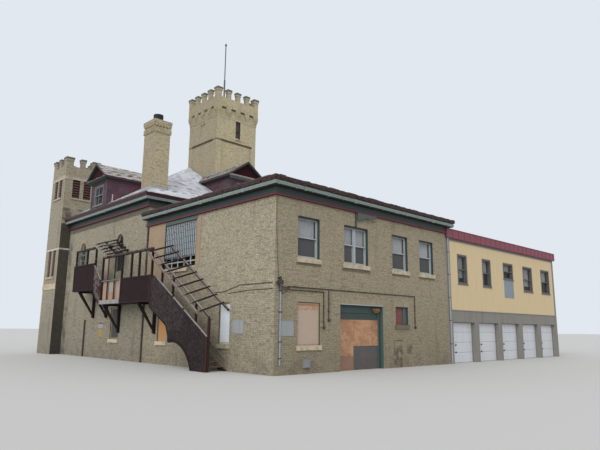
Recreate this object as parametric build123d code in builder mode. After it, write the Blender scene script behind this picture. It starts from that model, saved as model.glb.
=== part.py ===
from build123d import *
import math
import os
from collections import namedtuple

# A buff brick fire station: a two-storey rear wing, the hipped main block behind it with a corner
# turret and a hose tower, a five-bay garage wing and a timber fire escape. Millimetres, +Z up.
# The origin is the near outer corner of the rear wing at ground level, +X runs along the rear wall,
# +Y runs along the side wall towards the street.

# Walls and storeys
brick_wall = 350.0
plinth_floor = 120.0
floor_slab = 250.0
board_gap = 2.0

# Rear wing
wing_width = 12050.0
wing_depth = 10100.0
wing_frieze_base = 6800.0
wing_floor_top = 3600.0

# Main block
main_width = 15500.0
main_depth = 11900.0
main_frieze_base = 7910.0
main_floor_top = 3850.0
main_pitch = 0.62
roof_shell = 220.0

# Cornice, the same on the wing and the main block
frieze_height = 330.0
frieze_thickness = 50.0
bed_mould_height = 90.0
bed_mould_projection = 95.0
gutter_height = 170.0
gutter_overhang = 300.0
edge_height = 190.0
edge_foot_overhang = 320.0
edge_overhang = 420.0
wing_roof_rise = 180.0
wing_roof_flat_inset = 3600.0

# Garage wing
garage_length = 14150.0
garage_wall = 300.0
garage_bays = 5
garage_bay_pitch = 2740.0
garage_first_pier = 480.0
garage_door_width = 2280.0
garage_door_height = 2130.0
garage_door_setback = 280.0
garage_door_leaf = 45.0
garage_floor_top = 3300.0
garage_roof_top = 7100.0
garage_roof_slab = 200.0
garage_window_widths = (940.0, 940.0, 1240.0, 1300.0, 1300.0)
garage_reveal = 50.0
garage_window_sill = 4215.0
garage_window_height = 1560.0
short_window_rise = 605.0
short_panel_height = 1140.0
facing_base = 2790.0
facing_top = 6450.0
facing_margin = 370.0
facing_thickness = 30.0
facing_panel_proud = 12.0
garage_sill_height = 70.0
fascia_height = 500.0
fascia_thickness = 120.0
fascia_stand_up = 15.0

# Windows and boarded openings
upper_sill = 4480.0
upper_window_height = 1690.0
single_width = 1240.0
double_width = 1620.0
ground_sill = 1070.0
ground_window_height = 1670.0
reveal = 130.0
sash_frame_width = 55.0
sash_frame_depth = 110.0
sash_rail_width = 50.0
sash_depth = 40.0
sash_step = 15.0
glass_thickness = 6.0
board_thickness = 20.0
board_reveal = 60.0
sill_height = 190.0
sill_projection = 70.0
sill_bearing = 65.0

# Doorway in the rear wall and the small window beside it
doorway_centre = 5105.0
doorway_width = 2890.0
doorway_height = 2760.0
doorway_setback = 160.0
doorway_jamb = 165.0
doorway_frame_depth = 110.0
doorway_header_base = 2140.0
doorway_header_height = 260.0
transom_margin = 60.0
transom_recess = 40.0
doorway_split = 0.363
doorway_panel_height = 1000.0
doorway_leaf = 45.0
small_window_centre = 8000.0
small_window_width = 990.0
small_window_height = 830.0

# Openings in the side walls
screen_centre = 6870.0
screen_width = 2750.0
screen_height = 2160.0
screen_sill = 4460.0
screen_sash_height = 560.0
screen_sill_start = 6050.0
narrow_window_centre = 3130.0
narrow_window_width = 750.0
stair_window_centre = 8100.0
stair_window_width = 880.0
arch_window_width = 800.0
arch_window_sill = 4700.0
arch_window_top = 6820.0
arch_rail = 5700.0
arch_window_offsets = (3080.0, 8080.0)
exit_door_centre = 14700.0
exit_door_width = 850.0
exit_door_height = 2050.0
porch_window_centre = 13150.0
porch_window_width = 1000.0

# Front turret
turret_left = -640.0
turret_setback = 1480.0
turret_width = 2260.0
turret_depth = 2260.0
turret_wall = 300.0
turret_sill_top = 12280.0
turret_cap_top = 12880.0
turret_corner_merlon = 460.0
turret_mid_merlon = 270.0
turret_deck_top = 11900.0
turret_parapet_foot = 11500.0
turret_louvre_sill = 10120.0
turret_louvre_height = 1260.0
turret_louvre_width = 500.0
turret_louvre_spread = 370.0
turret_string_base = 11500.0
turret_string_height = 90.0
turret_slot_sill = 4870.0
turret_slot_height = 1740.0
turret_slot_width = 480.0
turret_band_base = 4050.0
turret_band_height = 370.0
stone_projection = 35.0
turret_sill_bearing = 60.0
turret_louvre_sill_height = 100.0
turret_slot_sill_height = 120.0
louvre_slats = 7
louvre_frame = 40.0
louvre_slat_height = 95.0
louvre_setback = 80.0
louvre_depth = 60.0
louvre_back = 20.0

# Hose tower
tower_off_centre = 1300.0
tower_side = 3300.0
tower_wall = 350.0
tower_panel_top = 14080.0
tower_panel_margin = 420.0
tower_panel_recess = 60.0
tower_corbel_foot = 15650.0
tower_corbel_top = 16080.0
tower_parapet_projection = 90.0
tower_slot_base = 16230.0
tower_slot_height = 120.0
tower_slot_width = 380.0
tower_slot_depth = 260.0
tower_bay_recess = 70.0
tower_sill_top = 17010.0
tower_cap_top = 17640.0
tower_corner_merlon = 350.0
tower_merlon = 310.0
tower_merlons = 5
tower_merlon_wall = 210.0
tower_parapet_wall = 320.0
merlon_head_height = 130.0
merlon_head_projection = 28.0
tower_deck_top = 16600.0
tower_slit_width = 400.0
tower_slit_shift = 100.0
tower_slit_sill = 14360.0
tower_slit_height = 1240.0
tower_blind_sill = 14560.0
tower_blind_height = 850.0
tower_blind_width = 560.0
tower_blind_recess = 60.0
cap_thickness = 120.0
cap_overhang = 55.0
deck_thickness = 150.0
pole_height = 22050.0
pole_foot_radius = 60.0
pole_tip_radius = 38.0
pole_ball_radius = 75.0
pole_joint_height = 19200.0

# Chimney
chimney_left = 200.0
chimney_rear = 10390.0
chimney_width = 970.0
chimney_depth = 1120.0
chimney_shaft_top = 12210.0
chimney_ring_height = 270.0
chimney_ring_projection = 45.0
chimney_neck_height = 160.0
chimney_corbel_height = 110.0
chimney_corbel_projection = 50.0
chimney_slab_height = 180.0
chimney_slab_projection = 65.0
pot_radius = 270.0
pot_height = 460.0
pot_wall = 30.0

# Dormers
dormer_width = 2220.0
dormer_wall = 120.0
dormer_eave = 10600.0
dormer_rise = 980.0
dormer_roof_half = 1400.0
dormer_roof_thickness = 110.0
dormer_roof_overhang = 300.0
dormer_window_width = 1200.0
dormer_window_sill = 9070.0
dormer_window_height = 1230.0
dormer_pediment_recess = 180.0
dormer_setback = 5.0
dormer_post = 110.0
dormer_post_projection = 25.0
dormer_board_height = 100.0
side_dormer_from_corner = 6750.0
side_dormer_face = 150.0
rear_dormer_from_tower = 150.0

# Fire escape
escape_reach = 1050.0
panel_thickness = 38.0
deck_depth = 120.0
lower_deck_top = 3000.0
upper_deck_top = 3800.0
lower_deck_start = 7550.0
lower_deck_end = 12950.0
open_bay_start = 10600.0
upper_deck_start = 13850.0
upper_deck_end = 16600.0
lower_guard = 1120.0
lower_posts = (7550.0, 8800.0, 9600.0)
middle_upper_post = 15000.0
upper_guard = 1350.0
guard_drop = 130.0
post_side = 90.0
lower_beam_base = 5290.0
upper_beam_base = 5950.0
beam_depth = 120.0
lower_beam_start = 7560.0
stair_rise_count = 16
stair_going = 294.0
tread_thickness = 45.0
stringer_thickness = 50.0
stringer_depth = 280.0
stair_guard = 1330.0
stair_arch_foot = 3890.0
stair_arch_head = 5700.0
stair_arch_rise = 1090.0
stair_arch_bulge = (640.0, 240.0)
flight_knee = (240.0, 760.0)
flight_heel = 250.0
flight_head_drop = 150.0
flight_head_run = 500.0
flight_foot_drop = 210.0
link_panel_rise = 50.0
bay_board_stand = 80.0
bay_rail_depth = 60.0
bay_bar = (40.0, 60.0)
wall_rail_height = 360.0
link_rise_count = 4
canopy_reach = 1300.0
canopy_mid_reach = 1000.0
canopy_rail_extra = 350.0
canopy_foot = 3150.0
canopy_foot_z = 2655.0
canopy_head = 7540.0
canopy_head_z = 5530.0
link_canopy_foot = 12050.0
link_canopy_foot_z = 5720.0
link_canopy_head = 13500.0
link_canopy_head_z = 6490.0
link_canopy_mid_reach = 700.0
canopy_posts = (3720.0, 5600.0, 6580.0)
seat_gap = 0.3
canopy_fall = 0.34
canopy_bar = 80.0
link_canopy_board = 150.0
canopy_post = 65.0
canopy_rungs = 9
link_canopy_slats = 5
bracket_bar = 90.0
bracket_foot = 1400.0
lower_brackets = (8700.0, 12500.0)
upper_brackets = (14100.0, 15800.0)
handrail_side = 50.0

# Small fittings
pipe_radius = 45.0
pipe_sides = 16
side_pipe_along = 9950.0
stub_along = 16980.0
stub_height = 2100.0
conduit_radius = 22.0
cable_radius = 14.0
riser_radius = 32.0
plate_thickness = 12.0
rear_plate = (320.0, 990.0, 1430.0, 2000.0)
side_plate = (1800.0, 2560.0, 1490.0, 2040.0)
porch_plate = (14500.0, 15150.0, 1640.0, 1980.0)
long_conduit = ((680.0, 3300.0), (9030.0, 3300.0), (9030.0, 1840.0))
short_conduit = ((720.0, 3180.0), (2640.0, 3180.0), (2640.0, 1780.0))
upper_cable = ((120.0, 3420.0), (2100.0, 3420.0), (3200.0, 3190.0), (3850.0, 3190.0))
lower_cable = ((120.0, 3190.0), (1500.0, 3190.0), (2900.0, 3110.0))
conduit_drop = (2940.0, 2070.0, 3300.0)
meter_riser = (270.0, 350.0, 3400.0)
lamp_left = 4730.0
lamp_reach = 1300.0
lamp_drop = 330.0
lamp_depth = 130.0
lamp_strap = 60.0
lamp_tip = 60.0
lamp_strap_foot = 30.0
meter_left = 1480.0
meter_base = 235.0
meter_width = 330.0
meter_height = 320.0
meter_depth = 120.0

main_rear = wing_depth
main_front = wing_depth + main_depth
garage_left = wing_width
garage_right = wing_width + garage_length
garage_back = wing_depth
wing_wall_top = wing_frieze_base + frieze_height
main_wall_top = main_frieze_base + frieze_height
main_roof_base = main_wall_top + gutter_height + edge_height
turret_rear = main_front - turret_setback
turret_right = turret_left + turret_width
turret_front = turret_rear + turret_depth
tower_left = (main_width - tower_side) / 2
tower_rear = main_rear + (main_depth - tower_side) / 2 - tower_off_centre
tower_right = tower_left + tower_side
tower_front = tower_rear + tower_side
side_dormer_centre = main_rear + side_dormer_from_corner
rear_dormer_centre = tower_left + rear_dormer_from_tower
rear_dormer_face = main_rear
arch_window_centres = [main_rear + offset for offset in arch_window_offsets]
roof_left = -edge_overhang
roof_right = main_width + edge_overhang
roof_rear = main_rear - edge_overhang
roof_front = main_front + edge_overhang

Opening = namedtuple("Opening", "centre sill width height")


class Elevation:
    """The outer face of a wall: local x runs along it, local y is up, inward is into the wall."""

    def __init__(self, plane, inward):
        self.plane = plane
        self.inward = inward

    def at(self, depth):
        return self.plane.offset(self.inward * depth)


rear_side = Elevation(Plane.XZ, -1)
left_side = Elevation(Plane.YZ, 1)
wing_right_side = Elevation(Plane.YZ.offset(wing_width), -1)
main_rear_side = Elevation(Plane.XZ.offset(-main_rear), -1)
main_front_side = Elevation(Plane.XZ.offset(-main_front), 1)
main_right_side = Elevation(Plane.YZ.offset(main_width), -1)
garage_back_side = Elevation(Plane.XZ.offset(-garage_back), 1)
garage_right_side = Elevation(Plane.YZ.offset(garage_right), -1)

os.makedirs("parts", exist_ok=True)


def save(builder, name):
    """Labels a finished sub-part and writes it as one STEP file."""
    builder.part.label = name
    export_step(builder.part, f"parts/{name}.step")


def block(x_span, y_span, z_span, mode=Mode.ADD):
    """A squared piece between two corners."""
    middle = [(span[0] + span[1]) / 2 for span in (x_span, y_span, z_span)]
    size = [span[1] - span[0] for span in (x_span, y_span, z_span)]
    with Locations(tuple(middle)):
        Box(*size, mode=mode)


def panel(face, start, end, base, top, depth, thickness, mode=Mode.ADD):
    """A rectangular piece lying against an elevation, depth behind its face."""
    with BuildSketch(face.at(depth)) as outline:
        with Locations(((start + end) / 2, (base + top) / 2)):
            Rectangle(end - start, top - base)
    extrude(outline.sketch, amount=face.inward * thickness, mode=mode)


def wall(face, start, end, top, openings=(), thickness=brick_wall, base=0.0):
    """A wall slab with its openings cut through."""
    with BuildSketch(face.plane) as outline:
        with Locations(((start + end) / 2, (base + top) / 2)):
            Rectangle(end - start, top - base)
        for hole in openings:
            with Locations((hole.centre, hole.sill + hole.height / 2)):
                Rectangle(hole.width, hole.height, mode=Mode.SUBTRACT)
    extrude(outline.sketch, amount=face.inward * thickness)


def arch_profile(face, depth, centre, sill, top, width):
    """The outline of a round-headed opening."""
    radius = width / 2
    with BuildSketch(face.at(depth)) as outline:
        with Locations((centre, (sill + top - radius) / 2)):
            Rectangle(width, top - radius - sill)
        with Locations((centre, top - radius)):
            Circle(radius)
    return outline.sketch


def frustum(x_foot, y_foot, z_foot, x_head, y_head, z_head):
    """A slab between two rectangles, one above the other, as two crossed prisms."""
    low = min(y_foot[0], y_head[0])
    high = max(y_foot[1], y_head[1])
    left = min(x_foot[0], x_head[0])
    right = max(x_foot[1], x_head[1])
    with BuildPart() as slab:
        with BuildSketch(Plane.XZ.offset(-low)) as across:
            with BuildLine():
                Polyline(
                    (x_foot[0], z_foot),
                    (x_foot[1], z_foot),
                    (x_head[1], z_head),
                    (x_head[0], z_head),
                    close=True,
                )
            make_face()
        extrude(across.sketch, amount=low - high)
        with BuildSketch(Plane.YZ.offset(left)) as along:
            with BuildLine():
                Polyline(
                    (y_foot[0], z_foot),
                    (y_foot[1], z_foot),
                    (y_head[1], z_head),
                    (y_head[0], z_head),
                    close=True,
                )
            make_face()
        extrude(along.sketch, amount=right - left, mode=Mode.INTERSECT)
    return slab.part


# Openings on each elevation
rear_upper = [
    Opening(1800.0, upper_sill, single_width, upper_window_height),
    Opening(7970.0, upper_sill, single_width, upper_window_height),
    Opening(10210.0, upper_sill, single_width, upper_window_height),
]
rear_double = Opening(4740.0, upper_sill, double_width, upper_window_height)
rear_ground = Opening(1820.0, ground_sill, single_width, ground_window_height)
rear_doorway = Opening(doorway_centre, 0.0, doorway_width, doorway_height)
small_window = Opening(
    small_window_centre, doorway_height - small_window_height, small_window_width, small_window_height
)
screen_window = Opening(screen_centre, screen_sill, screen_width, screen_height)
narrow_window = Opening(
    narrow_window_centre, ground_sill, narrow_window_width, ground_window_height
)
stair_window = Opening(stair_window_centre, ground_sill, stair_window_width, ground_window_height)
exit_door = Opening(exit_door_centre, upper_deck_top, exit_door_width, exit_door_height)
porch_window = Opening(
    porch_window_centre, ground_sill, porch_window_width, ground_window_height
)
front_centres = [turret_right + 1900.0 + 3300.0 * step for step in range(4)]
front_upper = [
    Opening(centre, upper_sill, single_width, upper_window_height) for centre in front_centres
]
front_ground = [
    Opening(centre, ground_sill, single_width, ground_window_height)
    for centre in (front_centres[0], front_centres[-1])
]
front_doorway = Opening(
    (front_centres[1] + front_centres[2]) / 2, 0.0, doorway_width, doorway_height
)
far_centres = [main_rear + main_depth * (step + 0.5) / 3 for step in range(3)]
far_upper = [
    Opening(centre, upper_sill, single_width, upper_window_height) for centre in far_centres
]
far_ground = [
    Opening(centre, ground_sill, single_width, ground_window_height) for centre in far_centres
]
bay_centres = [
    garage_left + garage_first_pier + garage_door_width / 2 + garage_bay_pitch * bay
    for bay in range(garage_bays)
]
short_bay = bay_centres[2]
garage_rises = [short_window_rise if centre == short_bay else 0.0 for centre in bay_centres]
garage_front_windows = [
    Opening(centre, garage_window_sill + rise, width, garage_window_height - rise)
    for centre, width, rise in zip(bay_centres, garage_window_widths, garage_rises)
]
garage_back_windows = [
    hole for hole in garage_front_windows if hole.centre - hole.width > main_width
]
garage_end_windows = [
    Opening(garage_back * share, garage_window_sill, garage_window_widths[0], garage_window_height)
    for share in (0.3, 0.7)
]
garage_door_holes = [
    Opening(centre, 0.0, garage_door_width, garage_door_height) for centre in bay_centres
]

# Rear wing walls
with BuildPart() as wing_rear_wall:
    wall(
        rear_side, 0.0, wing_width, wing_wall_top,
        rear_upper + [rear_double, rear_ground, rear_doorway, small_window],
    )
save(wing_rear_wall, "wing_rear_wall")

with BuildPart() as wing_side_wall:
    wall(
        left_side, brick_wall, main_rear, wing_wall_top,
        [screen_window, narrow_window, stair_window],
    )
save(wing_side_wall, "wing_side_wall")

with BuildPart() as wing_right_wall:
    wall(wing_right_side, brick_wall, main_rear, wing_wall_top)
save(wing_right_wall, "wing_right_wall")

# Main block walls
with BuildPart() as main_side_wall:
    wall(left_side, main_rear, turret_rear, main_wall_top, [exit_door, porch_window])
    for centre in arch_window_centres:
        opening = arch_profile(
            left_side, 0.0, centre, arch_window_sill, arch_window_top, arch_window_width
        )
        extrude(opening, amount=brick_wall, mode=Mode.SUBTRACT)
save(main_side_wall, "main_side_wall")

with BuildPart() as main_rear_wall:
    wall(main_rear_side, brick_wall, main_width, main_wall_top)
save(main_rear_wall, "main_rear_wall")

with BuildPart() as main_front_wall:
    wall(
        main_front_side, turret_right, main_width, main_wall_top,
        front_upper + front_ground + [front_doorway],
    )
save(main_front_wall, "main_front_wall")

with BuildPart() as main_right_wall:
    wall(
        main_right_side, main_rear + brick_wall, main_front - brick_wall, main_wall_top,
        far_upper + far_ground,
    )
save(main_right_wall, "main_right_wall")

# Garage wing walls
with BuildPart() as garage_front_wall:
    wall(
        rear_side, garage_left, garage_right, garage_roof_top - garage_roof_slab,
        garage_front_windows + garage_door_holes, garage_wall,
    )
save(garage_front_wall, "garage_front_wall")

with BuildPart() as garage_back_wall:
    wall(
        garage_back_side, garage_left, garage_right, garage_roof_top - garage_roof_slab,
        garage_back_windows, garage_wall,
    )
save(garage_back_wall, "garage_back_wall")

with BuildPart() as garage_end_wall:
    wall(
        garage_right_side, garage_wall, garage_back - garage_wall,
        garage_roof_top - garage_roof_slab, garage_end_windows, garage_wall,
    )
save(garage_end_wall, "garage_end_wall")


def storey_floor(x_span, y_span, top, thickness, hole=None):
    """A floor slab between walls, with an optional shaft hole through it."""
    block(x_span, y_span, (top - thickness, top))
    if hole is not None:
        block(hole[0], hole[1], (top - thickness, top), mode=Mode.SUBTRACT)


shaft_hole = ((tower_left, tower_right), (tower_rear, tower_front))
turret_hole = ((turret_left, turret_right), (turret_rear, turret_front))
wing_room = ((brick_wall, wing_width - brick_wall), (brick_wall, main_rear))
main_room = ((brick_wall, main_width - brick_wall), (main_rear + brick_wall, main_front - brick_wall))
garage_room = ((garage_left, garage_right - garage_wall), (garage_wall, garage_back - garage_wall))

with BuildPart() as ground_floors:
    storey_floor(*wing_room, plinth_floor, plinth_floor)
    storey_floor(*main_room, plinth_floor, plinth_floor, shaft_hole)
    block(*turret_hole, (0.0, plinth_floor), mode=Mode.SUBTRACT)
    storey_floor(*garage_room, plinth_floor, plinth_floor)
save(ground_floors, "ground_floors")

with BuildPart() as upper_floors:
    storey_floor(*wing_room, wing_floor_top, floor_slab)
    storey_floor(*main_room, main_floor_top, floor_slab, shaft_hole)
    block(*turret_hole, (main_floor_top - floor_slab, main_floor_top), mode=Mode.SUBTRACT)
    storey_floor(*garage_room, garage_floor_top, floor_slab)
save(upper_floors, "upper_floors")


# Friezes under the eaves, each run ending in a bed mould
def frieze_run(face, start, end, base, near_corner=0, far_corner=0):
    """A frieze board with the moulding along its foot, carried round the corners it owns."""
    outward = Elevation(face.plane, -face.inward)
    for height, projection in (
        (frieze_height, frieze_thickness), (bed_mould_height, bed_mould_projection)
    ):
        panel(
            outward, start - near_corner * projection, end + far_corner * projection,
            base, base + height, 0.0, projection,
        )


with BuildPart() as friezes:
    frieze_run(rear_side, 0.0, wing_width, wing_frieze_base, near_corner=1)
    frieze_run(left_side, board_gap, main_rear, wing_frieze_base)
    frieze_run(left_side, main_rear + board_gap, turret_rear, main_frieze_base)
    frieze_run(main_rear_side, 0.0, main_width, main_frieze_base, 1, 1)
    frieze_run(main_right_side, main_rear + board_gap, main_front - board_gap, main_frieze_base)
    frieze_run(main_front_side, turret_right, main_width, main_frieze_base, far_corner=1)
save(friezes, "friezes")

# Eaves: the soffit and gutter band, then the red roof edge above it
with BuildPart() as wing_eaves:
    block(
        (-gutter_overhang, wing_width + gutter_overhang),
        (-gutter_overhang, main_rear),
        (wing_wall_top, wing_wall_top + gutter_height),
    )
save(wing_eaves, "wing_eaves")

wing_edge_base = wing_wall_top + gutter_height
wing_edge_top = wing_edge_base + edge_height

with BuildPart() as wing_roof:
    add(
        frustum(
            (-edge_foot_overhang, wing_width + edge_foot_overhang),
            (-edge_foot_overhang, main_rear),
            wing_edge_base,
            (-edge_overhang, wing_width + edge_overhang),
            (-edge_overhang, main_rear),
            wing_edge_top,
        )
    )
    add(
        frustum(
            (-edge_overhang, wing_width + edge_overhang),
            (-edge_overhang, main_rear),
            wing_edge_top,
            (wing_roof_flat_inset, wing_width - wing_roof_flat_inset),
            (wing_roof_flat_inset, main_rear),
            wing_edge_top + wing_roof_rise,
        )
    )
save(wing_roof, "wing_roof")

with BuildPart() as main_eaves:
    block(
        (-gutter_overhang, main_width + gutter_overhang),
        (main_rear - gutter_overhang, main_front + gutter_overhang),
        (main_wall_top, main_wall_top + gutter_height),
    )
    block(*turret_hole, (main_wall_top, main_wall_top + gutter_height), mode=Mode.SUBTRACT)
    block(*shaft_hole, (main_wall_top, main_wall_top + gutter_height), mode=Mode.SUBTRACT)
save(main_eaves, "main_eaves")

with BuildPart() as main_roof_edge:
    add(
        frustum(
            (-edge_foot_overhang, main_width + edge_foot_overhang),
            (main_rear - edge_foot_overhang, main_front + edge_foot_overhang),
            main_roof_base - edge_height,
            (roof_left, roof_right),
            (roof_rear, roof_front),
            main_roof_base,
        )
    )
    block(*turret_hole, (main_roof_base - edge_height, main_roof_base), mode=Mode.SUBTRACT)
    block(*shaft_hole, (main_roof_base - edge_height, main_roof_base), mode=Mode.SUBTRACT)
save(main_roof_edge, "main_roof_edge")


# Hipped roof: a gable prism met by a second prism that slopes the two ends
def hip_solid(inset):
    """The solid under the hips, its slopes lowered by inset."""
    drop = inset / main_pitch
    half = (roof_front - roof_rear) / 2 - drop
    middle = (roof_front + roof_rear) / 2
    rise = half * main_pitch
    with BuildPart() as hip:
        with BuildSketch(Plane.YZ.offset(roof_left)) as slopes:
            with BuildLine():
                Polyline(
                    (middle - half, main_roof_base),
                    (middle + half, main_roof_base),
                    (middle, main_roof_base + rise),
                    close=True,
                )
            make_face()
        extrude(slopes.sketch, amount=roof_right - roof_left)
        with BuildSketch(Plane.XZ.offset(-roof_rear)) as ends:
            with BuildLine():
                Polyline(
                    (roof_left + drop, main_roof_base),
                    (roof_right - drop, main_roof_base),
                    (roof_right - drop - half, main_roof_base + rise),
                    (roof_left + drop + half, main_roof_base + rise),
                    close=True,
                )
            make_face()
        extrude(ends.sketch, amount=-(roof_front - roof_rear), mode=Mode.INTERSECT)
    return hip.part


with BuildPart() as main_hip_roof:
    add(hip_solid(0.0))
    add(hip_solid(roof_shell), mode=Mode.SUBTRACT)
    block(*shaft_hole, (main_roof_base, tower_slit_sill), mode=Mode.SUBTRACT)
    block(*turret_hole, (main_roof_base, tower_slit_sill), mode=Mode.SUBTRACT)
    block(
        (chimney_left, chimney_left + chimney_width),
        (chimney_rear, chimney_rear + chimney_depth),
        (main_roof_base, tower_slit_sill),
        mode=Mode.SUBTRACT,
    )
save(main_hip_roof, "main_hip_roof")


# Dormers, built facing -Y at the origin of their own plane and then placed
def dormer_walls_at(place, back):
    """The cheeks and the windowed front of a dormer, before the roof slope trims it."""
    half = dormer_width / 2
    with BuildPart(mode=Mode.PRIVATE) as shell:
        block((-half, half), (0.0, back), (main_roof_base, dormer_eave))
        block(
            (-half + dormer_wall, half - dormer_wall),
            (dormer_wall, back),
            (main_roof_base, dormer_eave),
            mode=Mode.SUBTRACT,
        )
        block(
            (-dormer_window_width / 2, dormer_window_width / 2),
            (0.0, dormer_wall),
            (dormer_window_sill, dormer_window_sill + dormer_window_height),
            mode=Mode.SUBTRACT,
        )
    return place * shell.part


def dormer_roof_at(place, back):
    """The gabled roof of a dormer with its pediment."""
    drop = dormer_roof_thickness
    half = dormer_roof_half
    with BuildPart(mode=Mode.PRIVATE) as roof:
        with BuildSketch(Plane.XZ.offset(dormer_roof_overhang)) as gable:
            with BuildLine():
                Polyline(
                    (-half, dormer_eave),
                    (half, dormer_eave),
                    (half, dormer_eave + drop),
                    (0.0, dormer_eave + drop + dormer_rise),
                    (-half, dormer_eave + drop),
                    close=True,
                )
            make_face()
        extrude(gable.sketch, amount=-(back + dormer_roof_overhang))
        inner = half - drop * 1.6
        with BuildSketch(Plane.XZ.offset(dormer_roof_overhang)) as tympanum:
            with BuildLine():
                Polyline(
                    (-inner, dormer_eave + drop),
                    (inner, dormer_eave + drop),
                    (0.0, dormer_eave + drop + dormer_rise * (1 - drop * 1.6 / half)),
                    close=True,
                )
            make_face()
        extrude(tympanum.sketch, amount=-dormer_pediment_recess, mode=Mode.SUBTRACT)
    return place * roof.part


side_dormer_place = Location((side_dormer_face, side_dormer_centre, 0.0), (0.0, 0.0, -90.0))
rear_dormer_place = Location((rear_dormer_centre, rear_dormer_face, 0.0))
side_dormer_back = 5200.0
rear_dormer_back = 5200.0
dormers = ((side_dormer_place, side_dormer_back), (rear_dormer_place, rear_dormer_back))

with BuildPart() as dormer_walls:
    for place, back in dormers:
        add(dormer_walls_at(place, back))
    add(hip_solid(0.0), mode=Mode.SUBTRACT)
save(dormer_walls, "dormer_walls")

with BuildPart() as dormer_roofs:
    for place, back in dormers:
        add(dormer_roof_at(place, back))
    add(hip_solid(0.0), mode=Mode.SUBTRACT)
    block(*shaft_hole, (main_roof_base, tower_slit_sill), mode=Mode.SUBTRACT)
save(dormer_roofs, "dormer_roofs")

# Chimney with its ring, corbelled head and pot
chimney_spans = (
    (chimney_left, chimney_left + chimney_width),
    (chimney_rear, chimney_rear + chimney_depth),
)


def chimney_course(base, height, projection):
    """One course of the chimney, stepped out by projection."""
    block(
        (chimney_spans[0][0] - projection, chimney_spans[0][1] + projection),
        (chimney_spans[1][0] - projection, chimney_spans[1][1] + projection),
        (base, base + height),
    )


with BuildPart() as chimney:
    chimney_course(main_roof_base, chimney_shaft_top - main_roof_base, 0.0)
    chimney_course(chimney_shaft_top, chimney_ring_height, chimney_ring_projection)
    neck_base = chimney_shaft_top + chimney_ring_height
    chimney_course(neck_base, chimney_neck_height, 0.0)
    corbel_base = neck_base + chimney_neck_height
    chimney_course(corbel_base, chimney_corbel_height, chimney_corbel_projection)
    slab_base = corbel_base + chimney_corbel_height
    chimney_course(slab_base, chimney_slab_height, chimney_slab_projection)
    chimney_top = slab_base + chimney_slab_height
save(chimney, "chimney")

with BuildPart() as chimney_pot:
    with BuildSketch(Plane.XY.offset(chimney_top)):
        with Locations((sum(chimney_spans[0]) / 2, sum(chimney_spans[1]) / 2)):
            Circle(pot_radius)
            Circle(pot_radius - pot_wall, mode=Mode.SUBTRACT)
    extrude(amount=pot_height)
save(chimney_pot, "chimney_pot")


# Battlements: merlons stand on a parapet ring and each carries a cap
def merlon_spans(start, end, corner, middle, count):
    """Spans of the merlons along one side, the first and last at the corners."""
    inner = count - 2
    crenel = (end - start - 2 * corner - inner * middle) / (count - 1)
    spans = [(start, start + corner)]
    for index in range(inner):
        left = start + corner + crenel + index * (middle + crenel)
        spans.append((left, left + middle))
    spans.append((end - corner, end))
    return spans


def battlement_boxes(x_span, y_span, corner, middle, count, thickness):
    """Plan boxes of every merlon round a square parapet."""
    boxes = []
    x_runs = merlon_spans(*x_span, corner, middle, count)
    y_runs = merlon_spans(*y_span, corner, middle, count)
    for index, run in enumerate(x_runs):
        at_corner = index in (0, count - 1)
        depth = corner if at_corner else thickness
        boxes.append((run, (y_span[0], y_span[0] + depth)))
        boxes.append((run, (y_span[1] - depth, y_span[1])))
    for run in y_runs[1:-1]:
        boxes.append(((x_span[0], x_span[0] + thickness), run))
        boxes.append(((x_span[1] - thickness, x_span[1]), run))
    return boxes


def grown(run, projection):
    """A span stepped out by projection at both ends."""
    return (run[0] - projection, run[1] + projection)


def merlons_on(boxes, base, top):
    """Merlons that step out in one course below their caps."""
    for x_run, y_run in boxes:
        block(x_run, y_run, (base, top))
        block(
            grown(x_run, merlon_head_projection), grown(y_run, merlon_head_projection),
            (top - merlon_head_height, top),
        )


def caps_on(boxes, base):
    """Overhanging cap stones on a set of merlons."""
    for x_run, y_run in boxes:
        block(grown(x_run, cap_overhang), grown(y_run, cap_overhang), (base, base + cap_thickness))


# Front turret
turret_x = (turret_left, turret_right)
turret_y = (turret_rear, turret_front)
turret_sides = (
    Elevation(Plane.XZ.offset(-turret_rear), -1),
    Elevation(Plane.XZ.offset(-turret_front), 1),
    Elevation(Plane.YZ.offset(turret_left), 1),
    Elevation(Plane.YZ.offset(turret_right), -1),
)
turret_middles = (sum(turret_x) / 2, sum(turret_x) / 2, sum(turret_y) / 2, sum(turret_y) / 2)
turret_street_sides = (1, 2)
turret_merlons = battlement_boxes(
    turret_x, turret_y, turret_corner_merlon, turret_mid_merlon, 3, turret_wall
)

turret_core = (
    (turret_left + turret_wall, turret_right - turret_wall),
    (turret_rear + turret_wall, turret_front - turret_wall),
)
with BuildPart() as turret_battlements:
    block(turret_x, turret_y, (turret_parapet_foot, turret_sill_top))
    block(*turret_core, (turret_parapet_foot, turret_sill_top), mode=Mode.SUBTRACT)
    merlons_on(turret_merlons, turret_sill_top, turret_cap_top - cap_thickness)
save(turret_battlements, "turret_battlements")

with BuildPart() as turret:
    block(turret_x, turret_y, (0.0, turret_parapet_foot))
    block(*turret_core, (0.0, turret_parapet_foot), mode=Mode.SUBTRACT)
    for index, (face, middle) in enumerate(zip(turret_sides, turret_middles)):
        for side in (-1, 1):
            centre = middle + side * turret_louvre_spread
            panel(
                face, centre - turret_louvre_width / 2, centre + turret_louvre_width / 2,
                turret_louvre_sill, turret_louvre_sill + turret_louvre_height,
                0.0, turret_wall, mode=Mode.SUBTRACT,
            )
            if index in turret_street_sides:
                panel(
                    face, centre - turret_slot_width / 2, centre + turret_slot_width / 2,
                    turret_slot_sill, turret_slot_sill + turret_slot_height,
                    0.0, turret_wall, mode=Mode.SUBTRACT,
                )
save(turret, "turret")

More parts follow.
